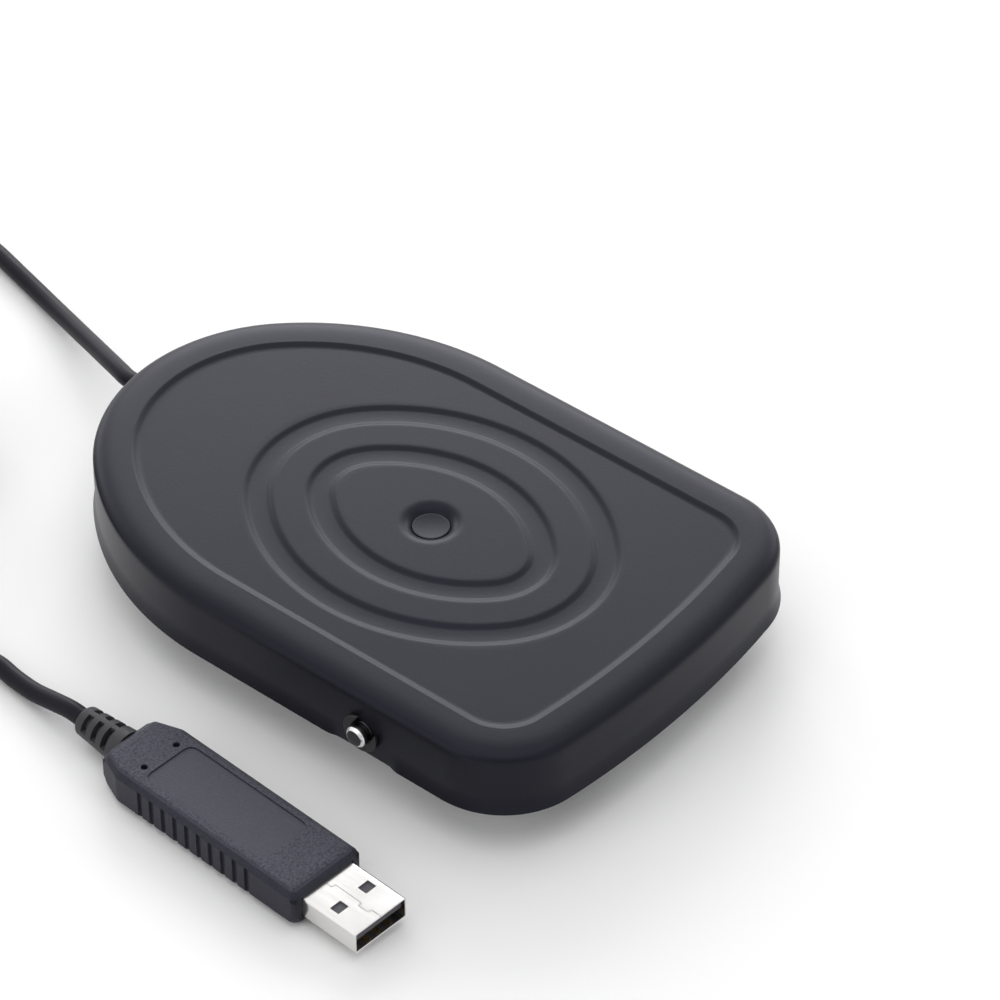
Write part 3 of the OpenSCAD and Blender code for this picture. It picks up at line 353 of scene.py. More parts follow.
# the lead: out of the gland, down to the floor and out of view, a tied coil, and back to the plug
leadForm = {
    "diameter": 3.5, "length": 1.8, "exit": (4.2, 64.3, 10.3), "sides": 14, "straight": 3.5, "startRun": 4.4,
    "out": [[4.2, 56.8, 10.3], [4.2, 60.5, 10.3], [4.2, 64.3, 10.3], [4.2, 67.8, 10.3], [4.6, 71, 9.9],
            [5.7, 74, 9.35], [7.3, 77.8, 8.35], [10.05, 84, 6.5], [12.6, 90, 4.85], [15.05, 96, 3.4],
            [17.4, 102.5, 2.3], [19.4, 109, 1.8], [21.2, 116, 1.8], [22.85, 122.5, 1.8], [23.9, 128.5, 1.8],
            [23.4, 134.5, 1.8], [20.8, 140, 1.8], [16, 144, 1.8], [10, 146, 1.8], [3.5, 146, 1.8],
            [-4, 144.2, 1.8], [-13, 140.6, 2], [-21.5, 136.8, 2.3], [-28.5, 134, 2.6]],
    "back": [[-68.2, 94, 14.4], [-67.7, 86, 12.2], [-66.8, 78, 9.4], [-65.4, 70, 6.6], [-63.7, 62, 4.2],
             [-62, 55, 2.5], [-60.8, 48.5, 1.8], [-60.5, 42, 1.8], [-61.2, 37.2, 1.8], [-61.85, 31.8, 2.3],
             [-62.1, 26.6, 3.3]],
    "centre": (-41.7, 105.6), "inner": 14.5, "pitch": 4.5, "layer": 4.2, "bottom": 2.85,
    "layers": 4, "legTurns": 2.6875, "climb": 0.5, "perTurn": 44,
}


def coilRoute(c):
    # wound in and out in flat layers: the radius runs from outer to inner and back by one pitch a turn,
    # with half a turn to climb each layer
    cycle = c["legTurns"] + c["climb"]
    total = c["layers"] * cycle - c["climb"]
    turn = np.linspace(0, total, int(round(total * c["perTurn"])) + 1)
    layer = np.minimum(np.floor(turn / cycle), c["layers"] - 1)
    w = turn - layer * cycle
    run = np.minimum(w, c["legTurns"])
    outer = c["inner"] + c["pitch"] * c["legTurns"]
    r = np.where(layer % 2 == 0, outer - c["pitch"] * run, c["inner"] + c["pitch"] * run)
    climb = np.clip((w - c["legTurns"]) / c["climb"], 0, 1)
    a = np.pi / 2 + 2 * np.pi * turn
    x = c["centre"][0] + r * np.cos(a)
    y = c["centre"][1] + r * np.sin(a)
    return np.stack([x, y, c["bottom"] + (layer + climb) * c["layer"]], 1)


def plugPlace(points):
    # from the plug's own frame, mouth at y = 0 and lead towards +y, to the row frame
    a = math.radians(plugForm["yaw"])
    p = np.asarray(points, float)
    x, y = p[..., 0], p[..., 1]
    return np.stack([plugForm["mouth"][0] + x * math.cos(a) - y * math.sin(a),
                     plugForm["mouth"][1] + x * math.sin(a) + y * math.cos(a), p[..., 2]], -1)


def layLead(c):
    # the smoothed way out, the coil and the smoothed way back, each led straight into the next
    # and the last straight into the strain relief
    coil = coilRoute(c)
    run = c["straight"]
    entry = coil[0] + [run, 0, 0]
    leave = coil[-1] - [0, run, 0]
    mid = plugForm["height"] / 2
    before, tip, inside = [plugPlace([0, plugForm["reliefEnd"] + d, mid]) for d in (run, 0, -run)]
    out = np.vstack([c["out"], entry + [run, 0, 0], entry])
    back = np.vstack([leave, leave - [0, run, 0], c["back"], before, tip, inside])
    first = smoothRoute(out, out[0] - [0, c["startRun"], 0], coil[0])
    last = smoothRoute(back, coil[-1], 2 * inside - tip)
    return np.vstack([first, coil, last])


leadPath = layLead(leadForm)
leadRings = sweepTube(leadPath, leadForm["diameter"] / 2, leadForm["sides"])
lead = putTube("lead", leadRings, "base", jacket, 60)
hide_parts("cable_lead", "cable_coil", "cable_tail")
leadLength = np.linalg.norm(np.diff(leadPath, axis=0), axis=1).sum() * mm
print("lead: %d rings, %.3f m" % (len(leadPath), leadLength))

# nylon tie round one side of the coil
tieForm = {"bearing": -30.0, "wide": 5.0, "thick": 0.8, "gap": 0.3, "soft": 0.18, "around": 96}


def makeTie(c, coiled):
    # a band round the hull of the turns it holds: for each direction, the turn that lies furthest
    # that way, plus a reach along it
    b = math.radians(c["bearing"])
    outward = np.array([math.cos(b), math.sin(b), 0])
    across = np.array([-math.sin(b), math.cos(b), 0])
    up = np.array([0, 0, 1.0])
    middle = np.array([*coiled["centre"], 0])
    turns = coilRoute(coiled) - middle
    turns = turns[(np.abs(turns @ across) < c["wide"] / 2) & (turns @ outward > 0)]
    turns = np.stack([turns @ outward, turns[:, 2]], 1)
    a = np.linspace(0, 2 * np.pi, c["around"], endpoint=False)
    way = np.stack([np.cos(a), np.sin(a)], 1)
    furthest = turns[np.argmax(turns @ way.T, axis=0)]
    low = coiled["diameter"] / 2 + c["gap"]
    top, half, q = low + c["thick"], c["wide"] / 2, c["soft"]
    edge = np.array([[low, -half], [top - q, -half], [top, q - half],
                     [top, half - q], [top - q, half], [low, half]])
    flat = furthest[None] + edge[:, :1, None] * way[None]
    rows = middle + flat[..., :1] * outward + edge[:, 1:, None] * across + flat[..., 1:] * up
    piece = putLoop("coilTie", rows, "base", tieNylon, 30)
    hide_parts("coil_tie")
    return piece


tiePiece = makeTie(tieForm, leadForm)

# the pressed tread: one sheet, lofted through rows from the rivet hole out over the rim,
# down the wall and back under
treadForm = {
    "width": 82.4, "length": 123.6, "rearR": 35.0, "shoulderRun": 15.0, "frontR": 190.0, "cornerR": 16.0,
    "rimZ": 21.7, "rimWide": 7.6, "edgeHigh": 2.7, "edgePower": 3.9, "wallH": 13.2, "sheet": 1.2,
    "stepHigh": 0.34, "stepUnder": 0.7, "stepRun": 1.3, "stepSoft": 0.05,
    "bendFirst": (0.015, 0.04, 0.09, 0.16, 0.24),  # shares of the rim where its first rows lie
    "lipH": 3.5, "lipPower": 1.6, "lipEdge": 0.12, "footEdge": 0.14, "flare": 0.5, "supportUp": 2.0,
    "ringY": -6.4, "ringEnds": 13.0, "ringSlim": 7.4, "rings": (22.6, 33.6),
    "channelWide": 4.2, "channelDeep": 0.32, "channelRun": 1.6, "channelSoft": 0.11,
    "dimple": 6.4, "dimpleRun": 3.0, "dimpleDeep": 1.15, "dimplePower": 3.0, "dimpleFlat": 0.15, "hole": 1.55,
    "pinY": -26.2, "pinZ": 13.3, "pinHole": 2.45, "pinReach": 50.0, "padHalf": 5.4, "padFade": 2.5,
    "notchX": 4.2, "notchWide": 9.4, "notchTop": 17.84, "notchFoot": 6.0, "notchFrom": 54.0, "notchTo": 68.0,
}


def treadOutline(c):
    # wall points and outward normals, anticlockwise from the right shoulder: arcs that meet tangent,
    # and two straight sides
    half, rear = c["width"] / 2, c["length"] / 2
    rearY = rear - c["rearR"]
    sideY = rearY - c["shoulderRun"]
    shoulder = (half ** 2 - c["rearR"] ** 2 + c["shoulderRun"] ** 2) / (2 * (half - c["rearR"]))
    hip = math.atan2(c["shoulderRun"], shoulder - half)
    bowY = c["frontR"] - rear
    cornerX = half - c["cornerR"]
    cornerY = bowY - math.sqrt((c["frontR"] - c["cornerR"]) ** 2 - cornerX ** 2)
    bow = math.asin(cornerX / (c["frontR"] - c["cornerR"]))
    halfTurn = math.pi
    front = 1.5 * halfTurn

    def arc(x, y, r, a0, a1, n):
        a = np.linspace(a0, a1, n, endpoint=False)
        normal = np.stack([np.cos(a), np.sin(a)], 1)
        return np.array([x, y]) + r * normal, normal

    def side(x, y0, y1, n):
        y = np.linspace(y0, y1, n, endpoint=False)
        return np.stack([np.full(n, x), y], 1), np.tile([np.sign(x), 0.0], (n, 1))

    parts = [arc(half - shoulder, sideY, shoulder, 0, hip, 44),
             arc(0, rearY, c["rearR"], hip, halfTurn - hip, 72),
             arc(shoulder - half, sideY, shoulder, halfTurn - hip, halfTurn, 44),
             side(-half, sideY, cornerY, 56),
             arc(-cornerX, cornerY, c["cornerR"], halfTurn, front - bow, 32),
             arc(0, bowY, c["frontR"], front - bow, front + bow, 44),
             arc(cornerX, cornerY, c["cornerR"], front + bow, 2 * halfTurn, 32),
             side(half, cornerY, sideY, 56)]
    return np.vstack([p for p, _ in parts]), np.vstack([n for _, n in parts])


def ovalReach(c, halfLength, rays):
    # distance from the ring centre along each ray to an oval of four arcs: where the ray leaves
    # the flank's circle, or past the point where the arcs meet, the end's circle
    side = c["ringSlim"] * (2 * c["ringEnds"] - c["ringSlim"]) / (2 * (c["ringEnds"] - c["ringSlim"]))
    link = math.hypot(c["ringEnds"], side)
    endR = halfLength - c["ringEnds"]
    across, along = np.abs(rays[:, 0]), np.abs(rays[:, 1])
    flank = np.sqrt((endR + link) ** 2 - (side * along) ** 2) - side * across
    cap = c["ringEnds"] * along + np.sqrt(np.maximum(endR ** 2 - (c["ringEnds"] * across) ** 2, 0))
    bearing = np.arctan2(flank * along, flank * across + side)
    return np.where(bearing <= math.atan2(c["ringEnds"], side), flank, cap)


def treadRows(c):
    # a ray row lies at a reach from the rings' centre along rays to the panel's edge,
    # and a wall row at an inset from the wall along its normals
    wall, normal = treadOutline(c)
    rim = c["rimZ"]
    under = c["sheet"]
    lip = rim - c["wallH"]
    lipTop = lip + c["lipH"]
    wallTop = rim - c["edgeHigh"]
    stepIn = c["rimWide"] + c["stepRun"] / 2
    stepOut = c["rimWide"] - c["stepRun"] / 2
    edge = wall - stepIn * normal - [0, c["ringY"]]
    panelReach = np.linalg.norm(edge, axis=1)
    rays = edge / panelReach[:, None]
    pastPad = smoothStep((np.abs(wall[:, 1] - c["pinY"]) - c["padHalf"]) / c["padFade"])
    flare = c["flare"] * np.where(np.abs(normal[:, 0]) == 1.0, pastPad, 1.0)  # none beside the shaft

    def level(p, z):
        return np.column_stack([p, np.broadcast_to(z, len(p))])

    def rayRow(reach, z):
        return level(rays * np.broadcast_to(reach, len(rays))[:, None] + [0, c["ringY"]], z)

    def wallRow(inset, z):
        return level(wall - np.broadcast_to(inset, len(wall))[:, None] * normal, z)

    def slope(rowAt, a0, z0, a1, z1, n, soft):
        # an S-shaped side from one level to the next: a straight run less soft times a full sine wave
        t = np.linspace(0, 1, n)
        rise = t - soft * np.sin(2 * np.pi * t)
        return [rowAt(a0 + (a1 - a0) * v, z0 + (z1 - z0) * w) for v, w in zip(t, rise)]

    def skin(step, drop, fine):
        # one face of the panel from the hole out: the dimple's side falls as a power of the way in,
        # each channel lies between two slopes, and a slope goes up to the rim
        top = rim - step - drop
        low = top - c["channelDeep"]
        deep = top - c["dimpleDeep"]
        mouth, run, soft = c["dimple"], c["dimpleRun"], c["channelSoft"]
        wide = (c["channelWide"] + c["channelRun"]) / 2
        narrow = (c["channelWide"] - c["channelRun"]) / 2
        rows = [rayRow(c["hole"], deep), rayRow(mouth - run - c["dimpleFlat"], deep)]
        rows += [rayRow(mouth - run * t, top - c["dimpleDeep"] * t ** c["dimplePower"])
                 for t in np.linspace(1, 0, fine + 4)]
        last = mouth
        for half in c["rings"]:
            edges = [ovalReach(c, half + s, rays) for s in (-wide, -narrow, narrow, wide)]
            rows += [rayRow(last + (edges[0] - last) * t, top) for t in (0.1, 0.4, 0.7, 0.93)]
            rows += slope(rayRow, edges[0], top, edges[1], low, fine, soft)
            rows += [rayRow((edges[1] + edges[2]) / 2, low)]
            rows += slope(rayRow, edges[2], low, edges[3], top, fine, soft)
            last = edges[3]
        rows += [rayRow(last + (panelReach - last) * t, top) for t in (0.06, 0.3, 0.6, 0.85, 0.96)]
        return rows + slope(wallRow, stepIn, top, stepOut, top + step, fine, c["stepSoft"])

    def bend(drop, n):
        # a squared quarter of an ellipse from the step to the wall: sine and cosine to a power below one
        wide = stepOut - drop
        high = c["edgeHigh"] - drop
        power = 2 / c["edgePower"]
        first = np.arcsin(np.array(c["bendFirst"]) ** (1 / power))
        a = np.concatenate([first, np.linspace(first[-1], np.pi / 2, n)[1:]])
        return [wallRow(stepOut - wide * math.sin(v) ** power, wallTop + high * math.cos(v) ** power)
                for v in a]

    def lipRows(inset, n):
        # the lip leaves the wall by the flare times a power of the way down
        return [wallRow(inset - flare * t ** c["lipPower"], lip + c["lipH"] * (1 - t) + c["lipEdge"] * t)
                for t in np.linspace(0, 1, n)]

    outer = skin(c["stepHigh"], 0, 11) + bend(0, 20)
    outer += [wallRow(0, wallTop + (lipTop - wallTop) * t) for t in (0.08, 0.5, 0.9)] + lipRows(0, 8)
    foot = [wallRow(c["footEdge"] - flare, lip), wallRow(under - c["footEdge"] - flare, lip)]
    inner = skin(c["stepUnder"], under, 5) + bend(under, 8)
    inner += [wallRow(under, lipTop + c["supportUp"])] + lipRows(under, 5)
    return np.array(outer + foot + inner[::-1])


def cutBy(piece, cutters):
    # takes the cutters out of the piece and keeps its finish
    for cutter in cutters:
        cut = piece.modifiers.new("cut", "BOOLEAN")
        cut.operation = "DIFFERENCE"
        cut.object = cutter
        cut.solver = "EXACT"
    bpy.context.view_layer.update()
    evaluated = piece.evaluated_get(bpy.context.evaluated_depsgraph_get())
    mesh = bpy.data.meshes.new_from_object(evaluated)
    piece.modifiers.clear()
    piece.data = mesh
    shadeSmooth(mesh, sharpAngle)
    for cutter in cutters:
        bpy.data.objects.remove(cutter)


def cutterBlock(name, outline, start, end):
    # an outline of (x, y, z) points carried from start to end, closed at both ends
    n = len(outline)
    points = np.vstack([outline + np.asarray(start, float), outline + np.asarray(end, float)])
    return meshObject(name, points, gridFaces(2, n, wrapCols=True), endCaps(2, n))


def makeTread(c):
    # the lofted sheet, less a round hole for the shaft and an arch where the lead leaves
    piece = putLoop("treadSheet", treadRows(c), "tread", coat)
    a = np.linspace(0, 2 * np.pi, 48, endpoint=False)
    pin = np.stack([0 * a, c["pinY"] + c["pinHole"] * np.cos(a), c["pinZ"] + c["pinHole"] * np.sin(a)], 1)
    r = c["notchWide"] / 2
    b = np.linspace(0, np.pi, 25)
    crown = np.stack([c["notchX"] + r * np.cos(b), 0 * b, c["notchTop"] - r + r * np.sin(b)], 1)
    feet = [[c["notchX"] - r, 0, c["notchFoot"]], [c["notchX"] + r, 0, c["notchFoot"]]]
    arch = np.vstack([crown, feet])
    cutBy(piece, [cutterBlock("pinCut", pin, (-c["pinReach"], 0, 0), (c["pinReach"], 0, 0)),
                  cutterBlock("notchCut", arch, (0, c["notchFrom"], 0), (0, c["notchTo"], 0))])
    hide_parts("tread")
    return piece


tread = makeTread(treadForm)
print("tread: %d faces" % len(tread.data.polygons))

# rivet in the dimple: a dished black head with a rolled edge, its shank through the sheet
# and its tail formed below
rivetForm = {
    "y": -6.4, "head": 3.4, "seat": 20.21, "headHigh": 0.25, "roll": 0.12, "dish": 0.14, "shank": 1.5,
    "core": 0.3, "tail": 2.4, "tailTop": 18.05, "tailLow": 17.05,
}


def makeRivet(c):
    # a profile turned about Z: the edge is a quarter circle, and the head sinks by the dish
    # times one less the square of the way out
    top = c["seat"] + c["headHigh"]
    flat = c["head"] - c["roll"]
    tail, foot = c["tail"], c["tailLow"]
    low = np.array([[c["core"], foot], [tail * 0.5, foot], [tail * 0.82, foot + 0.18], [tail, foot + 0.55],
                    [tail, c["tailTop"]], [c["shank"], c["tailTop"]], [c["shank"], c["seat"]],
                    [c["head"], c["seat"]]])
    a = np.linspace(0, np.pi / 2, 6)
    edge = np.stack([flat + c["roll"] * np.cos(a), top - c["roll"] + c["roll"] * np.sin(a)], 1)
    out = np.linspace(1, 0.03, 12)[1:]  # from the rolled edge in to the middle
    dish = np.stack([flat * out, top - c["dish"] * (1 - out ** 2)], 1)
    profile = np.vstack([low, edge, dish])
    piece = turnedPiece("rivet", profile, (0, c["y"], 0), (0, 0, 1), "tread", coat, 40)
    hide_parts("tread_rivet")


makeRivet(rivetForm)

# pivot shaft, turned about X, with a clip groove near each end and softened chamfers
shaftForm = {
    "y": -26.2, "z": 13.3, "r": 2.4, "nose": 2.06, "half": 43.6, "chamfer": 0.45, "soft": 0.07, "core": 0.3,
    "groove": 1.75, "grooveIn": 41.5, "grooveOut": 42.25,
}

# its steel: a drawn side painted near black, dark steel with a painted dark reflection, a bright chamfer, and
# a dark end with fine turning rings
shaftLook = {
    "side": (0.075, 0.075, 0.08), "bright": (0.86, 0.85, 0.84), "end": (0.075, 0.074, 0.082),
    "endFrom": (0.0430, 0.0432), "faceTo": (1.44, 1.56), "chamferFrom": (1.48, 1.6), "rings": 38.0,
    "drift": 900, "rough": 0.22, "depth": 0.00002,
}


def makeShaftSteel(c):
    # the distance from the shaft's axis, in millimetres, parts the end's face from its chamfer
    finish, shader, where = newFinish("turnedShaft", Metallic=1.0)
    x, y, z = axes(where)
    out = (((y - shaftForm["y"] * mm) ** 2.0 + (z - shaftForm["z"] * mm) ** 2.0) ** 0.5) * 1000.0
    end = x.maths("ABSOLUTE").ramp(*c["endFrom"])
    face = end * (1.0 - out.ramp(*c["faceTo"]))
    chamfer = end * out.ramp(*c["chamferFrom"])
    rings = (out * c["rings"]).maths("SINE")
    drift = where.noise(c["drift"], 3)
    # the side's near-black colour is dark steel with a painted dark reflection
    side = chamfer.tint(c["side"], c["bright"])
    feed(shader, Base_Color=(face * (0.85 + 0.15 * drift)).tint(side, c["end"]),
         Roughness=c["rough"] + 0.12 * drift + 0.2 * face,
         Normal=(rings + drift).bump(c["depth"], 0.3))
    return finish


def makeShaft(c):
    # one end's profile of (radius, distance) pairs, and the same mirrored for the other end
    k, nose, half = c["soft"], c["nose"], c["half"]
    rim = half - c["chamfer"]
    end = np.array([[c["core"], half], [nose - c["chamfer"] - k, half], [nose - c["chamfer"], half - 0.3 * k],
                    [nose - 0.3 * k, rim], [nose, rim - k], [nose, c["grooveOut"] + k],
                    [nose - k, c["grooveOut"]], [c["groove"], c["grooveOut"]], [c["groove"], c["grooveIn"]],
                    [c["r"] - k, c["grooveIn"]], [c["r"], c["grooveIn"] - k]])
    profile = np.vstack([end * [1, -1], end[::-1]])
    steel = makeShaftSteel(shaftLook)
    piece = turnedPiece("pivotShaft", profile, (0, c["y"], c["z"]), (1, 0, 0), "base", steel, 30)
    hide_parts("pivot_shaft")


makeShaft(shaftForm)

# clips on the shaft: a flat band between an outer arc and an inner edge with three lugs,
# its mouth turned forward of up
clipForm = {
    "outer": 3.65, "lug": 1.8, "relief": 2.45, "mouth": 2.15, "lugHigh": 1.4, "lugWide": 0.7,
    "tipShare": 0.985, "thick": 0.65, "edge": 0.09, "at": 41.55, "turn": 30.0, "around": 160,
}


def evenly(line, n):
    # the same line with n points spread evenly along it
    d = np.concatenate([[0], np.cumsum(np.linalg.norm(np.diff(line, axis=0), axis=1))])
    s = np.linspace(0, d[-1], n)
    return np.stack([np.interp(s, d, line[:, 0]), np.interp(s, d, line[:, 1])], 1)


def makeClip(name, node, side, c):
    # the inner line and the outer arc, point for point, carried round the band's softened section
    def arc(r, a0, a1, n):
        a = np.linspace(a0, a1, n)
        return np.stack([r * np.cos(a), r * np.sin(a)], 1)

    tip = math.sqrt(c["outer"] ** 2 - c["mouth"] ** 2)
    lugEnd = -math.asin(c["lugHigh"] / c["lug"])
    reliefEnd = -math.asin(c["lugHigh"] / c["relief"])
    lowRelief = -math.acos(c["lugWide"] / c["relief"])
    lowLug = -math.acos(c["lugWide"] / c["lug"])
    half = np.vstack([[[c["mouth"], tip * c["tipShare"]], [c["mouth"], 0.0]], arc(c["lug"], 0, lugEnd, 8),
                      arc(c["relief"], reliefEnd, lowRelief, 8), arc(c["lug"], lowLug, -np.pi / 2, 4)])
    inner = evenly(np.vstack([half, half[-2::-1] * [-1, 1]]), c["around"])
    start = math.atan2(tip, c["mouth"])
    outer = arc(c["outer"], start, -np.pi - start, c["around"])
    inset = c["edge"] / np.linalg.norm(outer - inner, axis=1, keepdims=True).clip(0.3)
    innerSoft = inner + (outer - inner) * inset
    outerSoft = outer + (inner - outer) * inset
    low, high = c["edge"], c["thick"] - c["edge"]
    section = [(innerSoft, 0), (outerSoft, 0), (outer, low), (outer, high),
               (outerSoft, c["thick"]), (innerSoft, c["thick"]), (inner, high), (inner, low)]
    a = math.radians(c["turn"])
    points = np.array([np.column_stack([np.full(len(p), side * (c["at"] + h)),
                                        shaftForm["y"] + p[:, 0] * math.cos(a) - p[:, 1] * math.sin(a),
                                        shaftForm["z"] + p[:, 0] * math.sin(a) + p[:, 1] * math.cos(a)])
                       for p, h in section])
    n, m = points.shape[:2]
    tips = [np.arange(n) * m, np.arange(n) * m + m - 1]
    piece = putPiece(name, points, gridFaces(n, m, wrapRows=True), "base", blackOxide, 30, tips)
    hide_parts(node)


makeClip("clipLeft", "e_clip_left", -1, clipForm)
makeClip("clipRight", "e_clip_right", 1, clipForm)
print("rivet, shaft and clips")

# plug grip: a bevelled section carried along, drawn in at the front, tapered behind,
# with grooves pressed into its sides
gripForm = {
    "wide": 16.0, "high": 8.0, "start": 12.4, "end": 55.2, "taperEnd": 60.6, "taperWide": 12.0, "knee": 0.4,
    "bevel": 1.25, "endCut": 0.75, "endBevel": 0.15, "soft": 0.3, "corner": 0.9, "cornerCuts": 6,
    "grooves": 10, "grooveFirst": 23.6, "groovePitch": 2.87, "grooveWide": 1.0, "grooveDeep": 0.5,
    "grooveTop": 6.65, "grooveSoft": 0.05, "grooveTopSoft": 0.06,
    "recess": (11.2, 28.8, 2.0), "recessStart": 22.0, "recessDeep": 0.25,
    "eye": 0.65, "eyeX": 3.75, "eyeY": 52.5, "eyeDeep": 1.0, "pocket": (12.1, 4.6, 42.9),
}

# its spark-textured plastic: a close grain on top, and smoother in the recess and on the sides, with the
# upper face painted lighter as painted light
gripLook = {
    "specular": 0.27, "sheen": (0.82, 0.83, 1.0, 1.0), "rough": 0.46,
    "dark": (0.012, 0.012, 0.018), "light": (0.067, 0.067, 0.086),
    "spark": 2100, "pits": 2600, "cloud": 90, "depth": 0.00016,
    "paintedLitTopFrom": (0.0075, 0.0077), "topFrom": (0.00782, 0.00794),  # below the recess's floor, and above it
}


def makeGrip(c):
    finish, shader, where = tintedFinish("sparkTexturedGrip", c)
    height = axes(where)[2]
    # painted light: everything from just below the recess's floor up is pushed towards the light tint
    paintedLitTop = height.ramp(*c["paintedLitTopFrom"])
    top = height.ramp(*c["topFrom"])
    spark = where.noise(c["spark"], 3, 0.65)
    pits = where.cells(c["pits"])
    cloud = where.noise(c["cloud"], 3)
    grain = (0.2 + 0.8 * top) * (spark - 0.5 + 0.35 * (pits - 0.45))
    # its last term is painted light: the upper face, recess included, painted lighter than the sides
    shade = 0.17 + 2.6 * grain + 0.3 * (cloud - 0.5) + 0.5 * paintedLitTop
    feed(shader, Base_Color=shade.tint(c["dark"], c["light"]),
         Roughness=c["rough"] + 0.14 * spark + 0.06 * top,
         Normal=((spark + 0.5 * pits) * (0.3 + 0.7 * top)).bump(c["depth"], 0.7))
    return finish


def roundedLoop(corners, soft, cuts):
    # each corner becomes a curve drawn towards it, starting and ending soft away on its two edges
    p = np.asarray(corners, float)
    back, on = np.roll(p, 1, 0) - p, np.roll(p, -1, 0) - p
    backLong = np.linalg.norm(back, axis=1, keepdims=True)
    onLong = np.linalg.norm(on, axis=1, keepdims=True)
    soft = np.minimum(soft, 0.45 * np.minimum(backLong, onLong))
    a = p + soft * back / backLong
    b = p + soft * on / onLong
    t = np.linspace(0, 1, cuts)[None, :, None]
    return (a[:, None] * (1 - t) ** 2 + 2 * p[:, None] * t * (1 - t) + b[:, None] * t ** 2).reshape(-1, 2)


def rectangle(wide, low, high):
    # the corners of an upright rectangle about x = 0, between two values of y
    return np.array([[-wide / 2, low], [wide / 2, low], [wide / 2, high], [-wide / 2, high]])


def gripSection(c, v, grooveMid):
    # the loop at v along the grip: half its width is less a quarter circle at the front and a straight
    # taper behind the knee, its corners rise towards both ends, and a soft-edged groove presses its sides
    near = max(c["corner"] - (v - c["start"]), 0.0)
    drawn = c["corner"] - math.sqrt(c["corner"] ** 2 - near ** 2)
    cut = c["endCut"] * max(c["bevel"] - (v - c["start"]), c["bevel"] - (c["taperEnd"] - v), 0.0)
    past, knee = v - c["end"], c["knee"]
    behind = knee * np.clip((past + knee) / (2 * knee), 0, 1) ** 2 if past < knee else past
    taper = (c["wide"] - c["taperWide"]) / 2 * behind / (c["taperEnd"] - c["end"])
    w = c["wide"] / 2 - drawn - taper
    q = c["bevel"] + c["endBevel"] * cut
    low, high = cut, c["high"] - cut
    corners = [[w - q, low], [w, low + q], [w, high - q], [w - q, high],
               [q - w, high], [-w, high - q], [-w, low + q], [q - w, low]]
    loop = roundedLoop(corners, c["soft"], c["cornerCuts"])
    twoCorners = 2 * c["cornerCuts"]
    up = low + q + 0.35 + np.array([0.0, 0.25, 0.5, 0.75, 0.93]) * (c["grooveTop"] - low - q - 0.3)
    loop = np.insert(loop, [twoCorners], np.column_stack([np.full(5, w), up]), 0)  # points up each side
    loop = np.insert(loop, [len(loop) - twoCorners], np.column_stack([np.full(5, -w), up[::-1]]), 0)
    outside = softEdge(np.abs(v - grooveMid).min() - c["grooveWide"] / 2, c["grooveSoft"])
    above = softEdge(loop[:, 1] - c["grooveTop"], c["grooveTopSoft"])
    deep = c["grooveDeep"] * (1 - outside) * (1 - above)
    x = np.sign(loop[:, 0]) * np.minimum(np.abs(loop[:, 0]), w - deep)
    return np.column_stack([x, np.full(len(x), v), loop[:, 1]])


def gripRows(c):
    # sections close together at both ends, at the knee and at each groove's edges
    grooveMid = c["grooveFirst"] + c["groovePitch"] * np.arange(c["grooves"])
    steps = np.array([-0.07, -0.025, 0.025, 0.07])
    edges = np.concatenate([steps - c["grooveWide"] / 2, steps + c["grooveWide"] / 2])
    ends = np.array([0, 0.04, 0.12, 0.25, 0.42, 0.62, 0.85, 1.1, 1.3])
    kneeRows = np.array([-4.0, -2.2, -0.6, -0.3, 0, 0.3, 0.6, 1.8, 3.2])
    plain = np.arange(15, 23, 1.5)  # between the front and the first groove
    y = np.concatenate([c["start"] + ends, plain, (grooveMid[:, None] + edges[None]).ravel(),
                        c["end"] + kneeRows, c["taperEnd"] - ends])
    return np.array([gripSection(c, v, grooveMid) for v in np.unique(y)])


def plugBlock(name, outline, low, high):
    # an upright cutter in the plug's own frame
    flat = np.column_stack([outline, np.zeros(len(outline))])
    return cutterBlock(name, plugPlace(flat), (0, 0, low), (0, 0, high))


def makeGripPiece(c):
    # the carried section, less a shallow recess, two eyes and the pocket that holds the shell
    piece = putTube("plugGrip", plugPlace(gripRows(c)), "base", makeGrip(gripLook), 30)
    top, above = c["high"], c["high"] + 1
    w, l, r = c["recess"]
    recess = roundedLoop(rectangle(w, c["recessStart"], c["recessStart"] + l), r, 9)
    a = np.linspace(0, 2 * np.pi, 28, endpoint=False)
    ring = np.stack([c["eye"] * np.cos(a), c["eye"] * np.sin(a)], 1)
    pocketWide, pocketHigh, pocketEnd = c["pocket"]
    pocket = rectangle(pocketWide, c["start"] - 1, pocketEnd)
    mid = top / 2
    cutBy(piece, [plugBlock("recessCut", recess, top - c["recessDeep"], above),
                  plugBlock("eyeCutRight", ring + [c["eyeX"], c["eyeY"]], top - c["eyeDeep"], above),
                  plugBlock("eyeCutLeft", ring + [-c["eyeX"], c["eyeY"]], top - c["eyeDeep"], above),
                  plugBlock("pocketCut", pocket, mid - pocketHigh / 2, mid + pocketHigh / 2)])
    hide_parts("plug_overmold")
    return piece


gripPiece = makeGripPiece(gripForm)
print("plug grip: %d faces" % len(gripPiece.data.polygons))

# plug shell: a folded tube with softened edges and two windows through its top and bottom
shellForm = {
    "wide": 12.0, "high": 4.5, "long": 18.4, "sheet": 0.3, "soft": 0.06, "corner": 0.62, "leastCorner": 0.2,
    "window": (2.45, 2.0), "windowX": 3.25, "windowY": 6.4, "windowSoft": 0.18, "windowReach": 4.0,
}

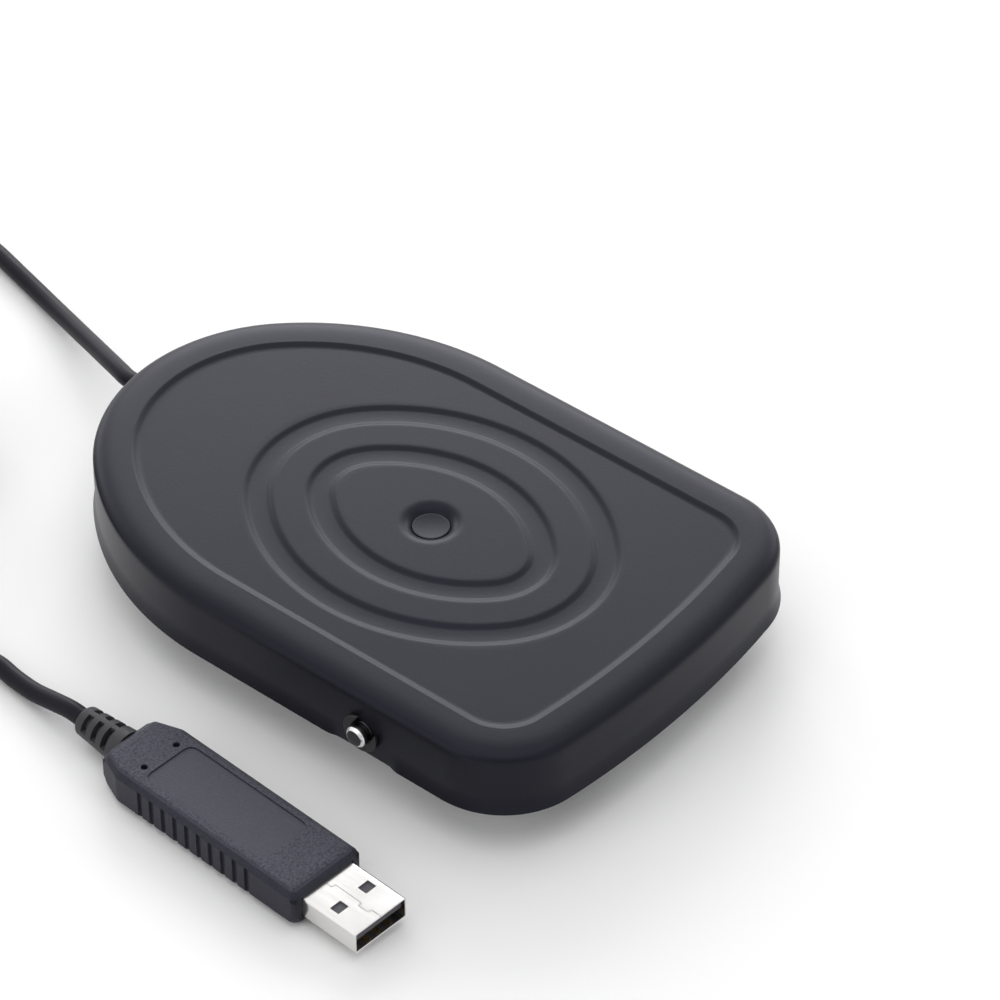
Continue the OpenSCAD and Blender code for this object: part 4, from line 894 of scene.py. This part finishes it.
# its nickel plate: a brushed grain, and the folded sheet's seam, with two tabs, along the middle of the top
nickelLook = {
    "dark": (0.70, 0.69, 0.68), "light": (0.80, 0.79, 0.775), "seamTint": (0.12, 0.115, 0.11), "rough": 0.13,
    "brushed": 900, "drift": 60, "depth": 0.00006, "seamHalf": 0.05, "tabs": ((2.15, 4.45), (10.6, 14.0)),
    "tabX": -0.78, "tabEnds": (2.15, 4.45, 10.6), "tabSpan": (-0.8, 0.03), "foldX": -0.42, "foldHalf": 0.04,
    "topFrom": (0.0061, 0.0062),
}


def makeNickel(c):
    # across and along are millimetres in the plug's own frame, and each line is 1 near its place
    finish, shader, where = newFinish("nickelPlate", Metallic=1.0)
    x, y, z = axes(where)
    x = x - plugForm["mouth"][0] * mm
    y = y - plugForm["mouth"][1] * mm
    turn = math.radians(plugForm["yaw"])
    across = (x * math.cos(turn) + y * math.sin(turn)) * 1000.0
    along = (y * math.cos(turn) - x * math.sin(turn)) * 1000.0

    def near(wire, place, half):
        return 1.0 - (wire - place).maths("ABSOLUTE").ramp(half * 0.5, half * 1.5)

    def within(wire, low, high):
        return wire.maths("GREATER_THAN", low) * wire.maths("LESS_THAN", high)

    tab, rearTab = [within(along, *span) for span in c["tabs"]]
    tabs = tab.maths("MAXIMUM", rearTab)
    seam = near(across, 0.0, c["seamHalf"]) * (1.0 - tabs)
    seam = seam.maths("MAXIMUM", near(across, c["tabX"], c["seamHalf"]) * tabs)
    seam = seam.maths("MAXIMUM", 0.5 * near(across, c["foldX"], c["foldHalf"]) * tab)
    for place in c["tabEnds"]:
        seam = seam.maths("MAXIMUM", near(along, place, c["seamHalf"]) * within(across, *c["tabSpan"]))
    seam = seam * z.ramp(*c["topFrom"])
    brushed = where.stretched(1, 0.06, 1).noise(c["brushed"], 4, 0.6)
    drift = where.noise(c["drift"], 3)
    plate = (0.5 * brushed + 0.5 * drift).tint(c["dark"], c["light"])
    feed(shader, Base_Color=seam.tint(plate, c["seamTint"]),
         Roughness=c["rough"] + 0.1 * brushed + 0.04 * drift + 0.3 * seam,
         Normal=(0.05 * brushed - seam).bump(c["depth"], 0.5))
    return finish


def makeShell(c):
    # a rounded rectangle carried out along the outside, round the mouth's softened edge and back inside
    mid = plugForm["height"] / 2

    def ringAt(drawn, y):
        w, h = c["wide"] / 2 - drawn, c["high"] / 2 - drawn
        corner = max(c["corner"] - drawn, c["leastCorner"])
        p = roundedLoop([[w, -h], [w, h], [-w, h], [-w, -h]], corner, 8)
        return np.column_stack([p[:, 0], np.full(len(p), y), mid + p[:, 1]])

    t, q, end = c["sheet"], c["soft"], c["long"]
    rows = plugPlace(np.array([ringAt(q, 0), ringAt(0, q), ringAt(0, end),
                               ringAt(t, end), ringAt(t, q), ringAt(t - q, 0)]))
    piece = putLoop("plugShell", rows, "base", makeNickel(nickelLook), 30)
    w, l = c["window"]
    window = roundedLoop(rectangle(w, -l / 2, l / 2), c["windowSoft"], 4) + [0, c["windowY"]]
    low, high = mid - c["windowReach"], mid + c["windowReach"]
    cutBy(piece, [plugBlock("windowCutLeft", window - [c["windowX"], 0], low, high),
                  plugBlock("windowCutRight", window + [c["windowX"], 0], low, high)])
    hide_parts("plug_shell")
    return piece


shellPiece = makeShell(shellForm)

# strain relief: a taper turned about the lead, rounded at its tip, with slots sunk into
# the upper half of each side
reliefForm = {
    "start": 60.6, "long": 11.0, "root": 3.6, "tip": 2.8, "round": 0.8, "core": 1.95, "around": 144,
    "slots": 3, "slotLong": 1.2, "slotFirst": 2.5, "pitch": 2.65, "slotX": 0.6, "slotZ": 0.4,
    "endSoft": 0.05, "sideSoft": 0.06,
}


def makeRelief(c):
    # the radius r at d along and a round falls evenly from root to tip, less a quarter circle at the tip,
    # and drops to the core in a slot: where |r cos a| passes slotX and r sin a passes slotZ
    straight = c["long"] - c["round"]
    starts = c["slotFirst"] + c["pitch"] * np.arange(c["slots"])
    steps = np.array([-0.06, -0.02, 0.02, 0.06])
    slotEdges = (starts[:, None] + np.concatenate([steps, steps + c["slotLong"]])[None]).ravel()
    tipRows = straight + c["round"] * np.sin(np.linspace(0, np.pi / 2, 9))
    d = np.unique(np.concatenate([slotEdges, np.linspace(0, straight, 14), tipRows]))[:, None]
    a = np.linspace(0, 2 * np.pi, c["around"], endpoint=False)[None]
    over = np.clip((d - straight) / c["round"], 0, 1)
    r = c["root"] + (c["tip"] - c["root"]) * np.minimum(d / straight, 1)
    r = r - c["round"] * (1 - np.sqrt(1 - over ** 2))
    fromSlot = np.abs(d[..., None] - starts - c["slotLong"] / 2).min(-1)
    inSlot = 1 - softEdge(fromSlot - c["slotLong"] / 2, c["endSoft"])
    upper = softEdge(r * np.sin(a) - c["slotZ"], c["sideSoft"])
    outer = softEdge(np.abs(r * np.cos(a)) - c["slotX"], c["sideSoft"])
    r = r - (r - c["core"]) * inSlot * upper * outer
    mid = plugForm["height"] / 2
    rings = plugPlace(np.stack([r * np.cos(a), c["start"] + d + 0 * a, mid + r * np.sin(a)], -1))
    piece = putTube("plugRelief", rings, "base", reliefRubber, 30)
    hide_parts("plug_strain_relief")
    return piece


reliefPiece = makeRelief(reliefForm)
print("plug shell and strain relief")

# what is on the lead: the gland at one end, the tie round its coil and the plug at the other end
onLead = [nodes[name] for name in ("cable_gland", "plug_tongue", "plug_contacts", "plug_board", "plug_chip")]
onLead += [tiePiece, gripPiece, shellPiece, reliefPiece]

# return spring: round wire wound in a helix between its seats
springForm = {
    "y": 37.8, "r": 5.3, "wire": 0.6, "turns": 5.5, "low": 7.15, "high": 18.15, "perTurn": 48, "sides": 12,
    "seat": 6.5, "squeezed": 0.773,
}


def makeSpring(c):
    # a helix: a circle about the spring's axis that climbs evenly from low to high
    t = np.linspace(0, 1, int(c["turns"] * c["perTurn"]) + 1)
    a = 2 * np.pi * c["turns"] * t
    height = c["low"] + (c["high"] - c["low"]) * t
    path = np.stack([c["r"] * np.cos(a), c["y"] + c["r"] * np.sin(a), height], 1)
    piece = putTube("returnSpring", sweepTube(path, c["wire"], c["sides"]), "base", springSteel, 60)
    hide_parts("return_spring")
    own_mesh(piece)


makeSpring(springForm)

# wires inside the pedal, from the lead's jacket past the spring to two of the switch's terminals
wireForm = {
    "r": 0.6, "sides": 10, "start": (4.2, 45.3, 10.3), "spread": 0.9, "straight": 1.2,
    "way": [[4.92, 43.98, 10.3], [6.72, 42, 9.93], [7.88, 39.9, 9.56], [8.9, 37.8, 9.18],
            [9.74, 32.95, 8.29], [9.62, 26.61, 7.4], [8.54, 19.9, 6.77], [4.94, 12.81, 6.58]],
    "ends": [[[-1.8, 5.3, 7.9], [-1.8, 0.5, 7.9], [-0.9, -3.3, 7.9], [-0.9, -4.5, 7.9]],
             [[0, 4.1, 7.9], [0, 0.5, 7.9]]],
}


def makeWires(c):
    # two swept circles side by side along one way, parting to their own ends
    points, faces, caps, count = [], [], [], 0
    straight = np.array([0, c["straight"], 0])
    for k, end in enumerate(c["ends"]):
        shift = np.array([(2 * k - 1) * c["spread"], 0, 0])
        way = np.vstack([np.array(c["start"]) + shift, np.array(c["way"]) + shift, end])
        path = smoothRoute(way, way[0] + straight, way[-1] - straight)
        n = len(path)
        points.append(sweepTube(path, c["r"], c["sides"]).reshape(-1, 3))
        faces.append(tubeFaces(n, c["sides"]) + count)
        caps += [cap + count for cap in endCaps(n, c["sides"])]
        count += n * c["sides"]
    piece = putPiece("leadWires", np.vstack(points), np.vstack(faces), "base", jacket, 60, caps)
    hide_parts("lead_wires")


makeWires(wireForm)
print("spring and wires")

# light: a pale floor, an even room with one dim side, and soft boxes over the pedal
studio = {
    "floor": 0.93, "seenFloor": 1.0, "mottle": 0.02, "half": 4.0, "below": -0.0002,
    "room": 0.58, "darkSide": (-0.72, -0.60, -0.35), "darkFrom": (0.45, 0.8), "darkShare": 0.55,
    "boxes": {  # place, aim, size and power
        "overhead": ((-0.1, -0.05, 1.2), (0, 0, 0), (1.2, 1.2), 3.6),
        "mirrorBox": ((0.84, 0.70, 0.60), (0, 0, 0.02), (0.6, 0.5), 5.4),
        "backWall": ((1.25, 1.04, 0.36), (0, 0, 0.1), (2.4, 0.7), 4.2),
        "leftFill": ((-1.2, 0.35, 0.8), (0, 0, 0), (0.8, 0.8), 2.1),
        "backLeft": ((0.28, 1.06, 0.52), (0, 0, 0.02), (0.5, 0.5), 1.9),
        "backRight": ((1.09, 0.10, 0.52), (0, 0, 0.02), (0.5, 0.5), 1.9),
    },
}


def softBox(name, place, aim, size, power):
    lamp = bpy.data.lights.new(name, "AREA")
    lamp.shape = "RECTANGLE"
    lamp.size, lamp.size_y = size
    lamp.energy = power
    putAimed(name, lamp, place, aim)


def seenRays(tree):
    # first what the camera sees, then that with what a mirror or clear plastic shows: 1 or 0
    rays = tree.nodes.new("ShaderNodeLightPath")
    kinds = ("Camera", "Glossy", "Transmission")
    camera, glossy, through = [Wire(tree, rays.outputs["Is %s Ray" % kind]) for kind in kinds]
    return camera, camera.maths("MAXIMUM", glossy).maths("MAXIMUM", through)


def makeFloor(c):
    finish, shader, where = newFinish("paleFloor", Roughness=0.9, Specular_IOR_Level=0.0)
    seen = seenRays(finish.node_tree)[1] - c["mottle"] * where.noise(3, 2)
    feed(shader, Base_Color=seen.tint((c["floor"],) * 3, (c["seenFloor"],) * 3))
    mesh = bpy.data.meshes.new("floor")
    h, z = c["half"], c["below"]
    mesh.from_pydata([(-h, -h, z), (h, -h, z), (h, h, z), (-h, h, z)], [], [(0, 1, 2, 3)])
    mesh.materials.append(finish)
    floor = bpy.data.objects.new("floor", mesh)
    bpy.context.scene.collection.objects.link(floor)


def makeRoom(c):
    # even light, white where it is seen, and for reflections less on the low side behind the camera
    world = bpy.data.worlds.new("room")
    bpy.context.scene.world = world
    world.use_nodes = True
    tree = world.node_tree
    back = tree.nodes["Background"]
    back.inputs["Color"].default_value = (1, 1, 1, 1)
    camera, seen = seenRays(tree)
    way = Wire(tree, tree.nodes.new("ShaderNodeTexCoord").outputs["Generated"])
    towards = way.node("ShaderNodeVectorMath", {0: way, 1: c["darkSide"]}, "Value", operation="DOT_PRODUCT")
    unlit = c["darkShare"] * towards.ramp(*c["darkFrom"]) * (seen - camera)
    strength = c["room"] + (1 - c["room"]) * seen - unlit
    tree.links.new(strength.socket, back.inputs["Strength"])


makeFloor(studio)
makeRoom(studio)
for name, box in studio["boxes"].items():
    softBox(name, *box)
bpy.context.scene.view_settings.view_transform = "Standard"
print("studio: %d soft boxes" % len(studio["boxes"]))

# finishes of the pieces kept as they were built
finishes = {
    "rivet_washer": zinc, "spring_cap": nylon, "base_plate": zinc, "pivot_spacers": nylon,
    "rubber_feet": rubber, "foot_screws": zinc, "front_stop_strip": rubber, "stop_bumpers": rubber,
    "spring_seat": nylon, "switch_case": resin, "switch_cover": resin, "switch_plunger": nylon,
    "switch_terminals": gold, "switch_bracket": zinc, "switch_screws": zinc, "switch_nuts": zinc,
    "bracket_screw": zinc, "cable_gland": rubber, "cable_inner": jacket, "cable_clamp": tieNylon,
    "clamp_screw": zinc, "plug_tongue": tongueResin, "plug_contacts": gold, "plug_board": boardGreen,
    "plug_chip": resin,
}
for name, finish in finishes.items():
    nodes[name].data.materials.clear()
    nodes[name].data.materials.append(finish)
